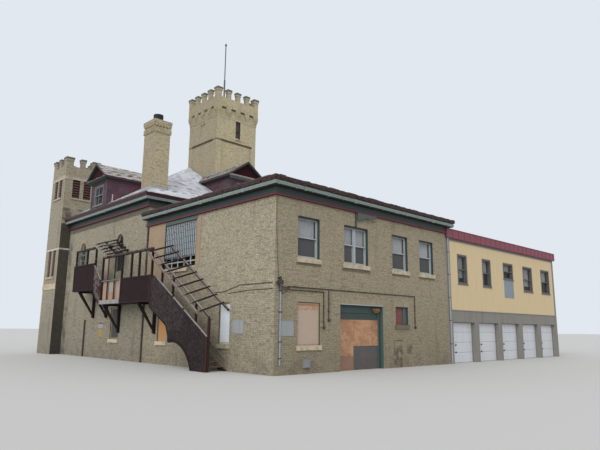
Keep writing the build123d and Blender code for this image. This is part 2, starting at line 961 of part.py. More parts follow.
# Hose tower
tower_x = (tower_left, tower_right)
tower_y = (tower_rear, tower_front)
parapet_x = (tower_left - tower_parapet_projection, tower_right + tower_parapet_projection)
parapet_y = (tower_rear - tower_parapet_projection, tower_front + tower_parapet_projection)
tower_sides = (
    Elevation(Plane.XZ.offset(-tower_rear), -1),
    Elevation(Plane.XZ.offset(-tower_front), 1),
    Elevation(Plane.YZ.offset(tower_left), 1),
    Elevation(Plane.YZ.offset(tower_right), -1),
)
tower_middles = (sum(tower_x) / 2, sum(tower_x) / 2, sum(tower_y) / 2, sum(tower_y) / 2)
tower_half = tower_side / 2

with BuildPart() as hose_tower:
    block(tower_x, tower_y, (0.0, tower_corbel_foot))
    block(
        (tower_left + tower_wall, tower_right - tower_wall),
        (tower_rear + tower_wall, tower_front - tower_wall),
        (0.0, tower_corbel_foot),
        mode=Mode.SUBTRACT,
    )
    for index, (face, middle) in enumerate(zip(tower_sides, tower_middles)):
        half_panel = tower_half - tower_panel_margin
        panel(
            face, middle - half_panel, middle + half_panel,
            main_roof_base, tower_panel_top, 0.0, tower_panel_recess, mode=Mode.SUBTRACT,
        )
        if index < 2:
            slit = middle + tower_slit_shift
            panel(
                face, slit - tower_slit_width / 2, slit + tower_slit_width / 2,
                tower_slit_sill, tower_slit_sill + tower_slit_height,
                0.0, tower_wall, mode=Mode.SUBTRACT,
            )
        else:
            panel(
                face, middle - tower_blind_width / 2, middle + tower_blind_width / 2,
                tower_blind_sill, tower_blind_sill + tower_blind_height,
                0.0, tower_blind_recess, mode=Mode.SUBTRACT,
            )
save(hose_tower, "hose_tower")

tower_boxes = battlement_boxes(
    parapet_x, parapet_y, tower_corner_merlon, tower_merlon, tower_merlons, tower_merlon_wall
)
tower_runs = merlon_spans(*parapet_x, tower_corner_merlon, tower_merlon, tower_merlons)
tower_gaps = [
    (left[1] + right[0]) / 2 - sum(parapet_x) / 2
    for left, right in zip(tower_runs, tower_runs[1:])
]

# The corbelled battlements: the parapet swells out over a row of corbels with a drain slot over each bay
with BuildPart() as hose_tower_battlements:
    add(frustum(tower_x, tower_y, tower_corbel_foot, parapet_x, parapet_y, tower_corbel_top))
    block(parapet_x, parapet_y, (tower_corbel_top, tower_sill_top))
    block(
        (parapet_x[0] + tower_parapet_wall, parapet_x[1] - tower_parapet_wall),
        (parapet_y[0] + tower_parapet_wall, parapet_y[1] - tower_parapet_wall),
        (tower_corbel_foot, tower_sill_top),
        mode=Mode.SUBTRACT,
    )
    merlons_on(tower_boxes, tower_sill_top, tower_cap_top - cap_thickness)
    for face, middle in zip(tower_sides, tower_middles):
        out = Elevation(face.at(-tower_parapet_projection), face.inward)
        for gap in tower_gaps:
            left = middle + gap - tower_slot_width / 2
            right = middle + gap + tower_slot_width / 2
            panel(
                out, left, right, tower_corbel_foot, tower_slot_base,
                0.0, tower_bay_recess, mode=Mode.SUBTRACT,
            )
            panel(
                out, left, right, tower_slot_base, tower_slot_base + tower_slot_height,
                0.0, tower_slot_depth, mode=Mode.SUBTRACT,
            )
save(hose_tower_battlements, "hose_tower_battlements")

with BuildPart() as tower_caps:
    caps_on(tower_boxes, tower_cap_top - cap_thickness)
    caps_on(turret_merlons, turret_cap_top - cap_thickness)
save(tower_caps, "tower_caps")

with BuildPart() as tower_decks:
    block(
        (turret_left + turret_wall, turret_right - turret_wall),
        (turret_rear + turret_wall, turret_front - turret_wall),
        (turret_deck_top - deck_thickness, turret_deck_top),
    )
    block(
        (parapet_x[0] + tower_parapet_wall, parapet_x[1] - tower_parapet_wall),
        (parapet_y[0] + tower_parapet_wall, parapet_y[1] - tower_parapet_wall),
        (tower_deck_top - deck_thickness, tower_deck_top),
    )
save(tower_decks, "tower_decks")

# The flagpole: two lengths of tube and a flat truck on top
with BuildPart() as flagpole:
    for base, top, radius in (
        (tower_deck_top, pole_joint_height, pole_foot_radius),
        (pole_joint_height, pole_height, pole_tip_radius),
        (pole_height - 2 * pole_ball_radius, pole_height - pole_ball_radius, pole_ball_radius),
    ):
        with BuildSketch(Plane.XY.offset(base)) as section:
            with Locations((sum(tower_x) / 2, sum(tower_y) / 2)):
                RegularPolygon(radius, pipe_sides)
        extrude(section.sketch, amount=top - base)
save(flagpole, "flagpole")

# Stone bands and sills of the turret, the tower and every window
with BuildPart() as tower_stonework:
    for base, height in (
        (turret_string_base, turret_string_height),
        (turret_band_base, turret_band_height),
    ):
        for index in turret_street_sides + ((0, 3) if base > main_roof_base else ()):
            face = turret_sides[index]
            out = Elevation(face.plane, -face.inward)
            middle = turret_middles[index]
            half = (turret_width if index < 2 else turret_depth) / 2
            panel(out, middle - half, middle + half, base, base + height, 0.0, stone_projection)
    for index, face in enumerate(turret_sides):
        out = Elevation(face.plane, -face.inward)
        reach = turret_louvre_spread + turret_louvre_width / 2 + turret_sill_bearing
        middle = turret_middles[index]
        panel(
            out, middle - reach, middle + reach,
            turret_louvre_sill - turret_louvre_sill_height, turret_louvre_sill, 0.0, sill_projection,
        )
        if index in turret_street_sides:
            panel(
                out, middle - reach, middle + reach,
                turret_slot_sill - turret_slot_sill_height, turret_slot_sill, 0.0, sill_projection,
            )
    for index, face in enumerate(tower_sides[:2]):
        out = Elevation(face.plane, -face.inward)
        slit = tower_middles[index] + tower_slit_shift
        panel(
            out, slit - tower_slit_width / 2 - turret_sill_bearing,
            slit + tower_slit_width / 2 + turret_sill_bearing,
            tower_slit_sill - turret_louvre_sill_height, tower_slit_sill, 0.0, sill_projection,
        )
save(tower_stonework, "tower_stonework")

with BuildPart() as turret_louvres:
    for index, (face, middle) in enumerate(zip(turret_sides, turret_middles)):
        for side in (-1, 1):
            centre = middle + side * turret_louvre_spread
            holes = [(turret_louvre_sill, turret_louvre_height, turret_louvre_width)]
            if index in turret_street_sides:
                holes.append((turret_slot_sill, turret_slot_height, turret_slot_width))
            for sill, height, width in holes:
                clear = height - 2 * louvre_frame
                with BuildSketch(face.at(louvre_setback)) as frame:
                    with Locations((centre, sill + height / 2)):
                        Rectangle(width, height)
                        Rectangle(width - 2 * louvre_frame, clear, mode=Mode.SUBTRACT)
                        with GridLocations(1.0, clear / louvre_slats, 1, louvre_slats):
                            Rectangle(width - louvre_frame, louvre_slat_height)
                extrude(frame.sketch, amount=face.inward * louvre_depth)
                panel(
                    face, centre - width / 2, centre + width / 2, sill, sill + height,
                    louvre_setback + louvre_depth, louvre_back,
                )
save(turret_louvres, "turret_louvres")

with BuildPart() as stone_sills:
    for face, holes in (
        (rear_side, rear_upper + [rear_double, rear_ground, small_window]),
        (left_side, [narrow_window, stair_window, porch_window]),
        (main_front_side, front_upper + front_ground),
        (main_right_side, far_upper + far_ground),
    ):
        out = Elevation(face.plane, -face.inward)
        for hole in holes:
            half = hole.width / 2 + sill_bearing
            panel(
                out, hole.centre - half, hole.centre + half,
                hole.sill - sill_height, hole.sill, 0.0, sill_projection,
            )
    panel(
        Elevation(left_side.plane, -left_side.inward), screen_sill_start,
        screen_centre + screen_width / 2 + sill_bearing,
        screen_sill - sill_height, screen_sill, 0.0, sill_projection,
    )
save(stone_sills, "stone_sills")


# Double-hung sashes: a box frame, two sashes and their meeting rail in one piece
def sash_window(face, hole, setback=reveal, rail_share=0.5):
    """The frame and the two sashes of one window."""
    clear_width = hole.width - 2 * sash_frame_width
    clear_height = hole.height - 2 * sash_frame_width
    middle = hole.sill + hole.height / 2
    rail = hole.sill + hole.height * rail_share
    with BuildSketch(face.at(setback)) as frame:
        with Locations((hole.centre, middle)):
            Rectangle(hole.width, hole.height)
            Rectangle(clear_width, clear_height, mode=Mode.SUBTRACT)
    extrude(frame.sketch, amount=face.inward * sash_frame_depth)
    for base, top, depth in (
        (rail - sash_rail_width / 2, hole.sill + hole.height - sash_frame_width, 0.0),
        (hole.sill + sash_frame_width, rail + sash_rail_width / 2, sash_depth),
    ):
        with BuildSketch(face.at(setback + sash_step + depth)) as sash:
            with Locations((hole.centre, (base + top) / 2)):
                Rectangle(clear_width, top - base)
                Rectangle(
                    clear_width - 2 * sash_rail_width,
                    top - base - 2 * sash_rail_width,
                    mode=Mode.SUBTRACT,
                )
        extrude(sash.sketch, amount=face.inward * sash_depth)


def half_openings(hole):
    """The two windows of a pair that share one opening."""
    quarter = hole.width / 4
    return [
        Opening(hole.centre + side * quarter, hole.sill, hole.width / 2, hole.height)
        for side in (-1, 1)
    ]


window_sets = (
    (rear_side, rear_upper + half_openings(rear_double), reveal),
    (main_front_side, front_upper, reveal),
    (main_right_side, far_upper, reveal),
    (rear_side, garage_front_windows, garage_reveal),
    (garage_back_side, garage_back_windows, garage_reveal),
    (garage_right_side, garage_end_windows, garage_reveal),
)
dormer_sets = (
    (
        Elevation(Plane.YZ.offset(side_dormer_face), 1),
        Opening(
            side_dormer_centre, dormer_window_sill, dormer_window_width, dormer_window_height
        ),
    ),
    (
        Elevation(Plane.XZ.offset(-rear_dormer_face), -1),
        Opening(
            rear_dormer_centre, dormer_window_sill, dormer_window_width, dormer_window_height
        ),
    ),
)

with BuildPart() as sash_windows:
    for face, holes, setback in window_sets:
        for hole in holes:
            sash_window(face, hole, setback)
    for face, hole in dormer_sets:
        sash_window(face, hole, dormer_setback)
save(sash_windows, "sash_windows")


def sash_panes(face, hole, setback=reveal):
    """The upper and lower panes of one window, each in its own sash."""
    inset = sash_frame_width + sash_rail_width
    left = hole.centre - hole.width / 2 + inset
    right = hole.centre + hole.width / 2 - inset
    middle = hole.sill + hole.height / 2
    half_rail = sash_rail_width / 2
    front = setback + sash_step
    for base, top, depth in (
        (hole.sill + inset, middle - half_rail, front + sash_depth * 1.5),
        (middle + half_rail, hole.sill + hole.height - inset, front + sash_depth * 0.5),
    ):
        panel(face, left, right, base, top, depth, glass_thickness)


with BuildPart() as window_glass:
    for face, holes, setback in window_sets:
        for hole in holes:
            sash_panes(face, hole, setback)
    for face, hole in dormer_sets:
        sash_panes(face, hole, dormer_setback)
    for centre in arch_window_centres:
        pane = arch_profile(
            left_side, reveal + sash_depth, centre, arch_window_sill + sash_frame_width,
            arch_window_top - sash_frame_width, arch_window_width - 2 * sash_frame_width,
        )
        extrude(pane, amount=glass_thickness)
    panel(
        left_side, screen_centre - screen_width / 2 + board_gap,
        screen_centre + screen_width / 2 - board_gap,
        screen_sill + board_gap, screen_sill + screen_sash_height - board_gap,
        reveal + sash_frame_depth, glass_thickness,
    )
save(window_glass, "window_glass")

# Boards over the ground floor windows and the arched ones
with BuildPart() as boarded_windows:
    for face, holes in (
        (rear_side, [rear_ground]),
        (left_side, [narrow_window, stair_window, porch_window, exit_door]),
        (main_front_side, front_ground),
        (main_right_side, far_ground),
    ):
        for hole in holes:
            panel(
                face, hole.centre - hole.width / 2, hole.centre + hole.width / 2,
                hole.sill, hole.sill + hole.height, board_reveal, board_thickness,
            )
    for face, middle in zip(tower_sides[:2], tower_middles[:2]):
        slit = middle + tower_slit_shift
        panel(
            face, slit - tower_slit_width / 2, slit + tower_slit_width / 2,
            tower_slit_sill, tower_slit_sill + tower_slit_height, reveal, board_thickness,
        )
save(boarded_windows, "boarded_windows")

with BuildPart() as arched_windows:
    for centre in arch_window_centres:
        outer = arch_profile(
            left_side, reveal, centre, arch_window_sill, arch_window_top, arch_window_width
        )
        extrude(outer, amount=sash_frame_depth)
        inner = arch_profile(
            left_side, reveal, centre, arch_window_sill + sash_frame_width,
            arch_window_top - sash_frame_width, arch_window_width - 2 * sash_frame_width,
        )
        extrude(inner, amount=sash_frame_depth, mode=Mode.SUBTRACT)
        panel(
            left_side, centre - arch_window_width / 2, centre + arch_window_width / 2,
            arch_rail, arch_rail + sash_rail_width, reveal, sash_depth,
        )
save(arched_windows, "arched_windows")

with BuildPart() as screened_window:
    panel(
        left_side, screen_centre - screen_width / 2, screen_centre + screen_width / 2,
        screen_sill + screen_sash_height, screen_sill + screen_height, 20.0, 40.0,
    )
    left_edge = screen_centre - screen_width / 2
    with BuildSketch(left_side.at(reveal)) as lights:
        with Locations((screen_centre, screen_sill + screen_sash_height / 2)):
            Rectangle(screen_width, screen_sash_height)
            with GridLocations(screen_width / 5, 1.0, 5, 1):
                Rectangle(screen_width / 5 - 60.0, screen_sash_height - 110.0, mode=Mode.SUBTRACT)
    extrude(lights.sketch, amount=sash_frame_depth)
save(screened_window, "screened_window")

# Boarded doorways: jambs and header, plywood above and a grey panel below
def doorway_surround(face, centre):
    """The jambs and the deep header of a doorway."""
    with BuildSketch(face.at(doorway_setback)) as frame:
        with Locations((centre, doorway_height / 2)):
            Rectangle(doorway_width, doorway_height)
        with Locations((centre, doorway_header_base / 2)):
            Rectangle(doorway_width - 2 * doorway_jamb, doorway_header_base, mode=Mode.SUBTRACT)
    extrude(frame.sketch, amount=face.inward * doorway_frame_depth)
    panel(
        face, centre - doorway_width / 2 + doorway_jamb, centre + doorway_width / 2 - doorway_jamb,
        doorway_header_base + transom_margin, doorway_header_base + doorway_header_height,
        doorway_setback, transom_recess, mode=Mode.SUBTRACT,
    )


def doorway_infill(face, centre):
    """Plywood beside and above a grey lower panel."""
    left = centre - doorway_width / 2 + doorway_jamb
    right = centre + doorway_width / 2 - doorway_jamb
    post = centre - doorway_width * (0.5 - doorway_split)
    for start, end, base, top, depth in (
        (left, post - board_gap, 0.0, doorway_header_base, 30.0),
        (post, right, doorway_panel_height + board_gap, doorway_header_base, 20.0),
        (post, right, 0.0, doorway_panel_height, 40.0),
    ):
        panel(face, start, end, base, top, doorway_setback + depth, doorway_leaf)


doorways = ((rear_side, doorway_centre), (main_front_side, front_doorway.centre))

with BuildPart() as doorway_frame:
    for face, centre in doorways:
        doorway_surround(face, centre)
save(doorway_frame, "doorway_frame")

with BuildPart() as doorway_boards:
    for face, centre in doorways:
        doorway_infill(face, centre)
    panel(
        rear_side, small_window_centre - small_window_width / 2,
        small_window_centre + small_window_width / 2,
        small_window.sill, small_window.sill + small_window_height, reveal, doorway_leaf,
    )
save(doorway_boards, "doorway_boards")

# Garage roof, fascia and doors
with BuildPart() as garage_roof:
    block(
        (garage_left, garage_right),
        (0.0, garage_back),
        (garage_roof_top - garage_roof_slab, garage_roof_top),
    )
save(garage_roof, "garage_roof")

# Cream facing panels hung on the grey garage walls
def facing(face, start, end, holes):
    """A cream panel round a row of windows."""
    out = Elevation(face.plane, -face.inward)
    panel(out, start, end, facing_base, facing_top, 0.0, facing_thickness)
    for hole in holes:
        panel(
            out, hole.centre - hole.width / 2, hole.centre + hole.width / 2,
            hole.sill, hole.sill + hole.height, 0.0, facing_thickness, mode=Mode.SUBTRACT,
        )


with BuildPart() as garage_facings:
    facing(
        rear_side, garage_left + facing_margin, garage_right - facing_margin, garage_front_windows
    )
    facing(
        garage_right_side, facing_margin, garage_back - facing_margin, garage_end_windows
    )
    facing(
        garage_back_side, main_width + edge_overhang, garage_right - facing_margin,
        garage_back_windows,
    )
save(garage_facings, "garage_facings")

with BuildPart() as garage_panel:
    panel(
        Elevation(rear_side.at(-facing_thickness), -rear_side.inward),
        short_bay - garage_window_widths[2] / 2, short_bay + garage_window_widths[2] / 2,
        garage_window_sill + short_window_rise - short_panel_height,
        garage_window_sill + short_window_rise - garage_sill_height, 0.0, facing_panel_proud,
    )
save(garage_panel, "garage_panel")

with BuildPart() as garage_sills:
    for face, holes in (
        (rear_side, garage_front_windows),
        (garage_right_side, garage_end_windows),
        (garage_back_side, garage_back_windows),
    ):
        out = Elevation(face.at(-facing_thickness), -face.inward)
        for hole in holes:
            half = hole.width / 2 + sill_bearing
            panel(
                out, hole.centre - half, hole.centre + half,
                hole.sill - garage_sill_height, hole.sill, 0.0, sill_projection / 2,
            )
save(garage_sills, "garage_sills")

fascia_top = garage_roof_top + fascia_stand_up
with BuildPart() as garage_fascia:
    block(
        (garage_left, garage_right + fascia_thickness),
        (-fascia_thickness, 0.0),
        (fascia_top - fascia_height, fascia_top),
    )
    block(
        (garage_right, garage_right + fascia_thickness),
        (board_gap, garage_back),
        (fascia_top - fascia_height, fascia_top),
    )
save(garage_fascia, "garage_fascia")

with BuildPart() as garage_doors:
    for hole in garage_door_holes:
        panel(
            rear_side, hole.centre - hole.width / 2, hole.centre + hole.width / 2,
            0.0, hole.height, garage_door_setback - garage_door_leaf, garage_door_leaf,
        )
save(garage_doors, "garage_doors")

# Fire escape
deck_x = (-escape_reach + panel_thickness, 0.0)
panel_x = (-escape_reach, -escape_reach + panel_thickness)
post_x = (panel_x[1], panel_x[1] + post_side)
stair_rise = lower_deck_top / stair_rise_count
stair_slope = stair_rise / stair_going
stair_foot = lower_deck_start - stair_going * stair_rise_count
canopy_slope = (canopy_head_z - canopy_foot_z) / (canopy_head - canopy_foot)
newel_top = canopy_foot_z - canopy_slope * canopy_rail_extra - canopy_fall * canopy_mid_reach - seat_gap
link_going = (upper_deck_start - lower_deck_end) / link_rise_count
link_rise = (upper_deck_top - lower_deck_top) / link_rise_count

with BuildPart() as escape_decks:
    block(deck_x, (lower_deck_start, lower_deck_end), (lower_deck_top - deck_depth, lower_deck_top))
    block(deck_x, (upper_deck_start, upper_deck_end), (upper_deck_top - deck_depth, upper_deck_top))
save(escape_decks, "escape_decks")


def side_panel(points):
    """A boarded side of the escape from its outline in the side elevation."""
    with BuildSketch(Plane.YZ.offset(panel_x[0])) as outline:
        with BuildLine():
            Polyline(*points, close=True)
        make_face()
    extrude(outline.sketch, amount=panel_thickness)


with BuildPart() as escape_panels:
    side_panel(
        [
            (open_bay_start, lower_deck_top - guard_drop),
            (open_bay_start, lower_deck_top + lower_guard),
            (lower_deck_start, lower_deck_top + lower_guard),
            (lower_deck_start, lower_deck_top - guard_drop),
        ]
    )
    with BuildSketch(Plane.YZ.offset(panel_x[0])) as flight_side:
        with BuildLine():
            Polyline(
                (stair_arch_foot, 0.0),
                (stair_foot - post_side, 0.0),
                (stair_foot - post_side, stair_guard),
                (lower_deck_start - flight_head_run, lower_deck_top + lower_guard - flight_head_drop),
                (lower_deck_start - board_gap, lower_deck_top + lower_guard),
                (lower_deck_start - board_gap, lower_deck_top - guard_drop - flight_foot_drop),
                (stair_arch_head + flight_knee[0], stair_arch_rise + flight_knee[1]),
                (stair_arch_head, stair_arch_rise + flight_heel),
                (stair_arch_head, stair_arch_rise),
            )
            ThreePointArc(
                (stair_arch_head, stair_arch_rise),
                (stair_arch_foot + stair_arch_bulge[0], stair_arch_rise - stair_arch_bulge[1]),
                (stair_arch_foot, 0.0),
            )
        make_face()
    extrude(flight_side.sketch, amount=panel_thickness)
    side_panel(
        [
            (upper_deck_start, upper_deck_top - guard_drop),
            (upper_deck_end, upper_deck_top - guard_drop),
            (upper_deck_end, upper_deck_top + upper_guard),
            (upper_deck_start, upper_deck_top + upper_guard),
        ]
    )
    side_panel(
        [
            (lower_deck_end + board_gap, lower_deck_top - guard_drop),
            (upper_deck_start - board_gap, upper_deck_top - guard_drop),
            (upper_deck_start - board_gap, upper_deck_top + upper_guard - flight_head_drop),
            (lower_deck_end + board_gap, lower_deck_top + lower_guard + link_panel_rise),
        ]
    )
    block(
        (panel_x[0], 0.0),
        (upper_deck_end, upper_deck_end + panel_thickness),
        (upper_deck_top - guard_drop, upper_deck_top + upper_guard),
    )
save(escape_panels, "escape_panels")

with BuildPart() as escape_frame:
    for along in (*lower_posts, open_bay_start, lower_deck_end - post_side):
        block(post_x, (along, along + post_side), (lower_deck_top, lower_beam_base))
    for along in (upper_deck_start, middle_upper_post, upper_deck_end - post_side):
        block(post_x, (along, along + post_side), (upper_deck_top, upper_beam_base))
    block(post_x, (lower_beam_start, lower_deck_end), (lower_beam_base, lower_beam_base + beam_depth))
    block(post_x, (upper_deck_start, upper_deck_end), (upper_beam_base, upper_beam_base + beam_depth))
    block(
        panel_x,
        (open_bay_start + board_gap, lower_deck_end),
        (lower_deck_top - guard_drop, lower_deck_top + bay_board_stand),
    )
    block(
        post_x,
        (open_bay_start + post_side, lower_deck_end - post_side),
        (lower_deck_top + lower_guard - bay_rail_depth, lower_deck_top + lower_guard),
    )
    for share in (1 / 3, 2 / 3):
        along = open_bay_start + (lower_deck_end - open_bay_start) * share
        block(
            (post_x[0], post_x[0] + bay_bar[0]),
            (along, along + bay_bar[1]),
            (lower_deck_top, lower_beam_base),
        )
    block(post_x, (stair_foot - board_gap - post_side, stair_foot - board_gap), (0.0, newel_top))
save(escape_frame, "escape_frame")


def knee_bracket(along, deck_top, foot):
    """A timber knee brace: a wall leg, a bearer under the deck and a raking strut."""
    under = deck_top - deck_depth
    reach = escape_reach - panel_thickness
    with BuildSketch(Plane.XZ.offset(-along)) as outline:
        with BuildLine():
            Polyline(
                (0.0, under),
                (-reach, under),
                (-reach, under - bracket_bar),
                (-bracket_bar, foot + bracket_bar),
                (-bracket_bar, foot),
                (0.0, foot),
                close=True,
            )
        make_face()
        with BuildLine():
            Polyline(
                (-bracket_bar, under - bracket_bar),
                (-reach + 2.2 * bracket_bar, under - bracket_bar),
                (-bracket_bar, foot + 2.6 * bracket_bar),
                close=True,
            )
        make_face(mode=Mode.SUBTRACT)
    extrude(outline.sketch, amount=-bracket_bar)


with BuildPart() as escape_brackets:
    for along in lower_brackets:
        knee_bracket(along, lower_deck_top, bracket_foot)
    for along in upper_brackets:
        knee_bracket(along, upper_deck_top, bracket_foot + upper_deck_top - lower_deck_top)
save(escape_brackets, "escape_brackets")


def stringer(x_start, foot_y, foot_z, head_y, head_z):
    """A raking stringer with a plumb head and a level foot."""
    slope = (head_z - foot_z) / (head_y - foot_y)
    level = stringer_depth / slope
    with BuildSketch(Plane.YZ.offset(x_start)) as outline:
        with BuildLine():
            Polyline(
                (foot_y, foot_z),
                (head_y, head_z),
                (head_y, head_z - stringer_depth),
                (foot_y + level, foot_z),
                close=True,
            )
        make_face()
    extrude(outline.sketch, amount=stringer_thickness)


stringer_x = (panel_x[1], -stringer_thickness)
with BuildPart() as stair_stringers:
    for x_start in stringer_x:
        stringer(x_start, stair_foot, 0.0, lower_deck_start, lower_deck_top)
        stringer(
            x_start, lower_deck_end, lower_deck_top, upper_deck_start, upper_deck_top
        )
save(stair_stringers, "stair_stringers")

tread_x = (panel_x[1] + stringer_thickness, -stringer_thickness)
with BuildPart() as stair_treads:
    for step in range(1, stair_rise_count):
        near = stair_foot + stair_going * step
        top = stair_rise * step
        block(tread_x, (near, near + stair_going), (top - tread_thickness, top))
    for step in range(1, link_rise_count):
        near = lower_deck_end + link_going * step
        top = lower_deck_top + link_rise * step
        block(tread_x, (near, near + link_going), (top - tread_thickness, top))
save(stair_treads, "stair_treads")


# Open canopies over the stairs: raking rails tied by rungs, falling away from the wall
def canopy(foot_y, foot_z, head_y, head_z, rungs, rung_width, rails):
    """Raking rails, each at its reach from the wall and with its own longer foot, tied by rungs."""
    slope = (head_z - foot_z) / (head_y - foot_y)
    for reach, extra in rails:
        fall = canopy_fall * reach
        low = foot_z - fall - slope * extra
        with BuildSketch(Plane.YZ.offset(-reach)) as rail:
            with BuildLine():
                Polyline(
                    (foot_y - extra, low),
                    (head_y, head_z - fall),
                    (head_y, head_z - fall + canopy_bar),
                    (foot_y - extra, low + canopy_bar),
                    close=True,
                )
            make_face()
        extrude(rail.sketch, amount=canopy_bar)
    for index in range(rungs):
        along = foot_y + (head_y - foot_y - rung_width) * index / (rungs - 1)
        level = foot_z + slope * (along - foot_y + rung_width / 2) + canopy_bar / 2
        with BuildSketch(Plane.XZ.offset(-along)) as rung:
            with BuildLine():
                Polyline(
                    (0.0, level),
                    (-canopy_reach, level - canopy_fall * canopy_reach),
                    (-canopy_reach, level - canopy_fall * canopy_reach + canopy_bar),
                    (0.0, level + canopy_bar),
                    close=True,
                )
            make_face()
        extrude(rung.sketch, amount=-rung_width)


with BuildPart() as escape_canopies:
    canopy(
        canopy_foot, canopy_foot_z, canopy_head, canopy_head_z, canopy_rungs, canopy_bar,
        ((canopy_reach, 0.0), (canopy_mid_reach, canopy_rail_extra), (canopy_bar, canopy_rail_extra)),
    )
    canopy(
        link_canopy_foot, link_canopy_foot_z, link_canopy_head, link_canopy_head_z,
        link_canopy_slats, link_canopy_board,
        ((canopy_reach, 0.0), (link_canopy_mid_reach, 0.0), (canopy_bar, 0.0)),
    )
save(escape_canopies, "escape_canopies")

# Posts from the outer stringer up to the canopy, and the rail on the wall side of the flight
with BuildPart() as stair_rails:
    for along in canopy_posts:
        foot = stair_slope * (along + canopy_post - stair_foot) + seat_gap
        head = canopy_foot_z + canopy_slope * (along - canopy_foot)
        head = head - canopy_fall * canopy_mid_reach - seat_gap
        block(post_x, (along, along + canopy_post), (foot, head))
    with BuildSketch(Plane.YZ.offset(-handrail_side)) as rail:
        with BuildLine():
            rail_start = stair_foot + 130.0
            rail_end = lower_deck_start - post_side
            rail_foot = stair_slope * (rail_start - stair_foot) + wall_rail_height
            rail_head = stair_slope * (rail_end - stair_foot) + wall_rail_height
            Polyline(
                (rail_start, rail_foot),
                (rail_end, rail_head),
                (rail_end, rail_head + handrail_side),
                (rail_start, rail_foot + handrail_side),
                close=True,
            )
        make_face()
    extrude(rail.sketch, amount=handrail_side)
save(stair_rails, "stair_rails")

# Pipes, lamp and meter box on the walls
with BuildPart() as wall_pipes:
    for base, top in (
        (0.0, lower_deck_top - deck_depth),
        (lower_deck_top, wing_frieze_base - board_gap),
    ):
        with BuildSketch(Plane.XY.offset(base)) as section:
            with Locations((-pipe_radius, side_pipe_along)):
                RegularPolygon(pipe_radius, pipe_sides)
        extrude(section.sketch, amount=top - base)
    with BuildSketch(Plane.XY) as stub:
        with Locations((-pipe_radius, stub_along)):
            RegularPolygon(pipe_radius, pipe_sides)
    extrude(stub.sketch, amount=stub_height)
    with BuildSketch(Plane.XY) as downpipe:
        with Locations((garage_left + facing_margin / 2, -pipe_radius)):
            RegularPolygon(pipe_radius, pipe_sides)
    extrude(downpipe.sketch, amount=garage_roof_top + fascia_stand_up - fascia_height)
save(wall_pipes, "wall_pipes")

with BuildPart() as meter_box:
    block(
        (meter_left, meter_left + meter_width), (-meter_depth, 0.0),
        (meter_base, meter_base + meter_height),
    )
save(meter_box, "meter_box")


def wall_run(face, points, radius):
    """A pipe clipped along a wall through the given corners."""
    line = Elevation(face.at(-radius - seat_gap), face.inward)
    with BuildLine(line.plane) as path:
        Polyline(*points)
    with BuildSketch(Plane(path.line @ 0, z_dir=path.line % 0)) as section:
        RegularPolygon(radius, pipe_sides)
    sweep(section.sketch, path=path.line, transition=Transition.RIGHT)


with BuildPart() as conduits:
    for run in (long_conduit, short_conduit):
        wall_run(rear_side, run, conduit_radius)
    for run in (upper_cable, lower_cable):
        wall_run(left_side, run, cable_radius)
    for (left, base, top), radius in ((conduit_drop, conduit_radius), (meter_riser, riser_radius)):
        with BuildSketch(Plane.XY.offset(base)) as section:
            with Locations((left, -radius - seat_gap)):
                RegularPolygon(radius, pipe_sides)
        extrude(section.sketch, amount=top - base)
save(conduits, "conduits")

with BuildPart() as notice_plates:
    for face, plate in ((rear_side, rear_plate), (left_side, side_plate), (left_side, porch_plate)):
        panel(Elevation(face.plane, -face.inward), *plate, 0.0, plate_thickness)
save(notice_plates, "notice_plates")

# A floodlight on a tapered arm under the rear eaves
with BuildPart() as wall_lamp:
    with BuildSketch(rear_side.at(0.0)) as arm:
        with BuildLine():
            Polyline(
                (lamp_left + lamp_reach, wing_frieze_base - lamp_tip),
                (lamp_left + lamp_reach, wing_frieze_base - board_gap),
                (lamp_left, wing_frieze_base - board_gap),
                (lamp_left, wing_frieze_base - lamp_drop),
                close=True,
            )
        make_face()
    extrude(arm.sketch, amount=lamp_depth)
    panel(
        Elevation(rear_side.plane, 1), lamp_left - lamp_strap, lamp_left,
        upper_sill + upper_window_height + lamp_strap_foot, wing_frieze_base - board_gap, 0.0, lamp_strap,
    )
save(wall_lamp, "wall_lamp")

# Corner posts and the board under the pediment of each dormer
with BuildPart() as dormer_trim:
    for face, hole in dormer_sets:
        out = Elevation(face.plane, -face.inward)
        half = dormer_width / 2
        slope_foot = dormer_window_sill - dormer_board_height
        for side in (-1, 1):
            middle = hole.centre + side * (half - dormer_post / 2)
            panel(
                out, middle - dormer_post / 2, middle + dormer_post / 2,
                slope_foot, dormer_eave, 0.0, dormer_post_projection,
            )
        panel(
            out, hole.centre - half + dormer_post + board_gap,
            hole.centre + half - dormer_post - board_gap,
            slope_foot, dormer_window_sill, 0.0, dormer_post_projection,
        )
save(dormer_trim, "dormer_trim")
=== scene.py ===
"""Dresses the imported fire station: finishes, the fittings too fine for the solids, studio and camera."""

import logging
import math
import random
from collections.abc import Callable, Iterable, Iterator, Sequence
from dataclasses import dataclass, field
from enum import Enum
from typing import Union

import bmesh
import bpy
from mathutils import Matrix, Vector, noise


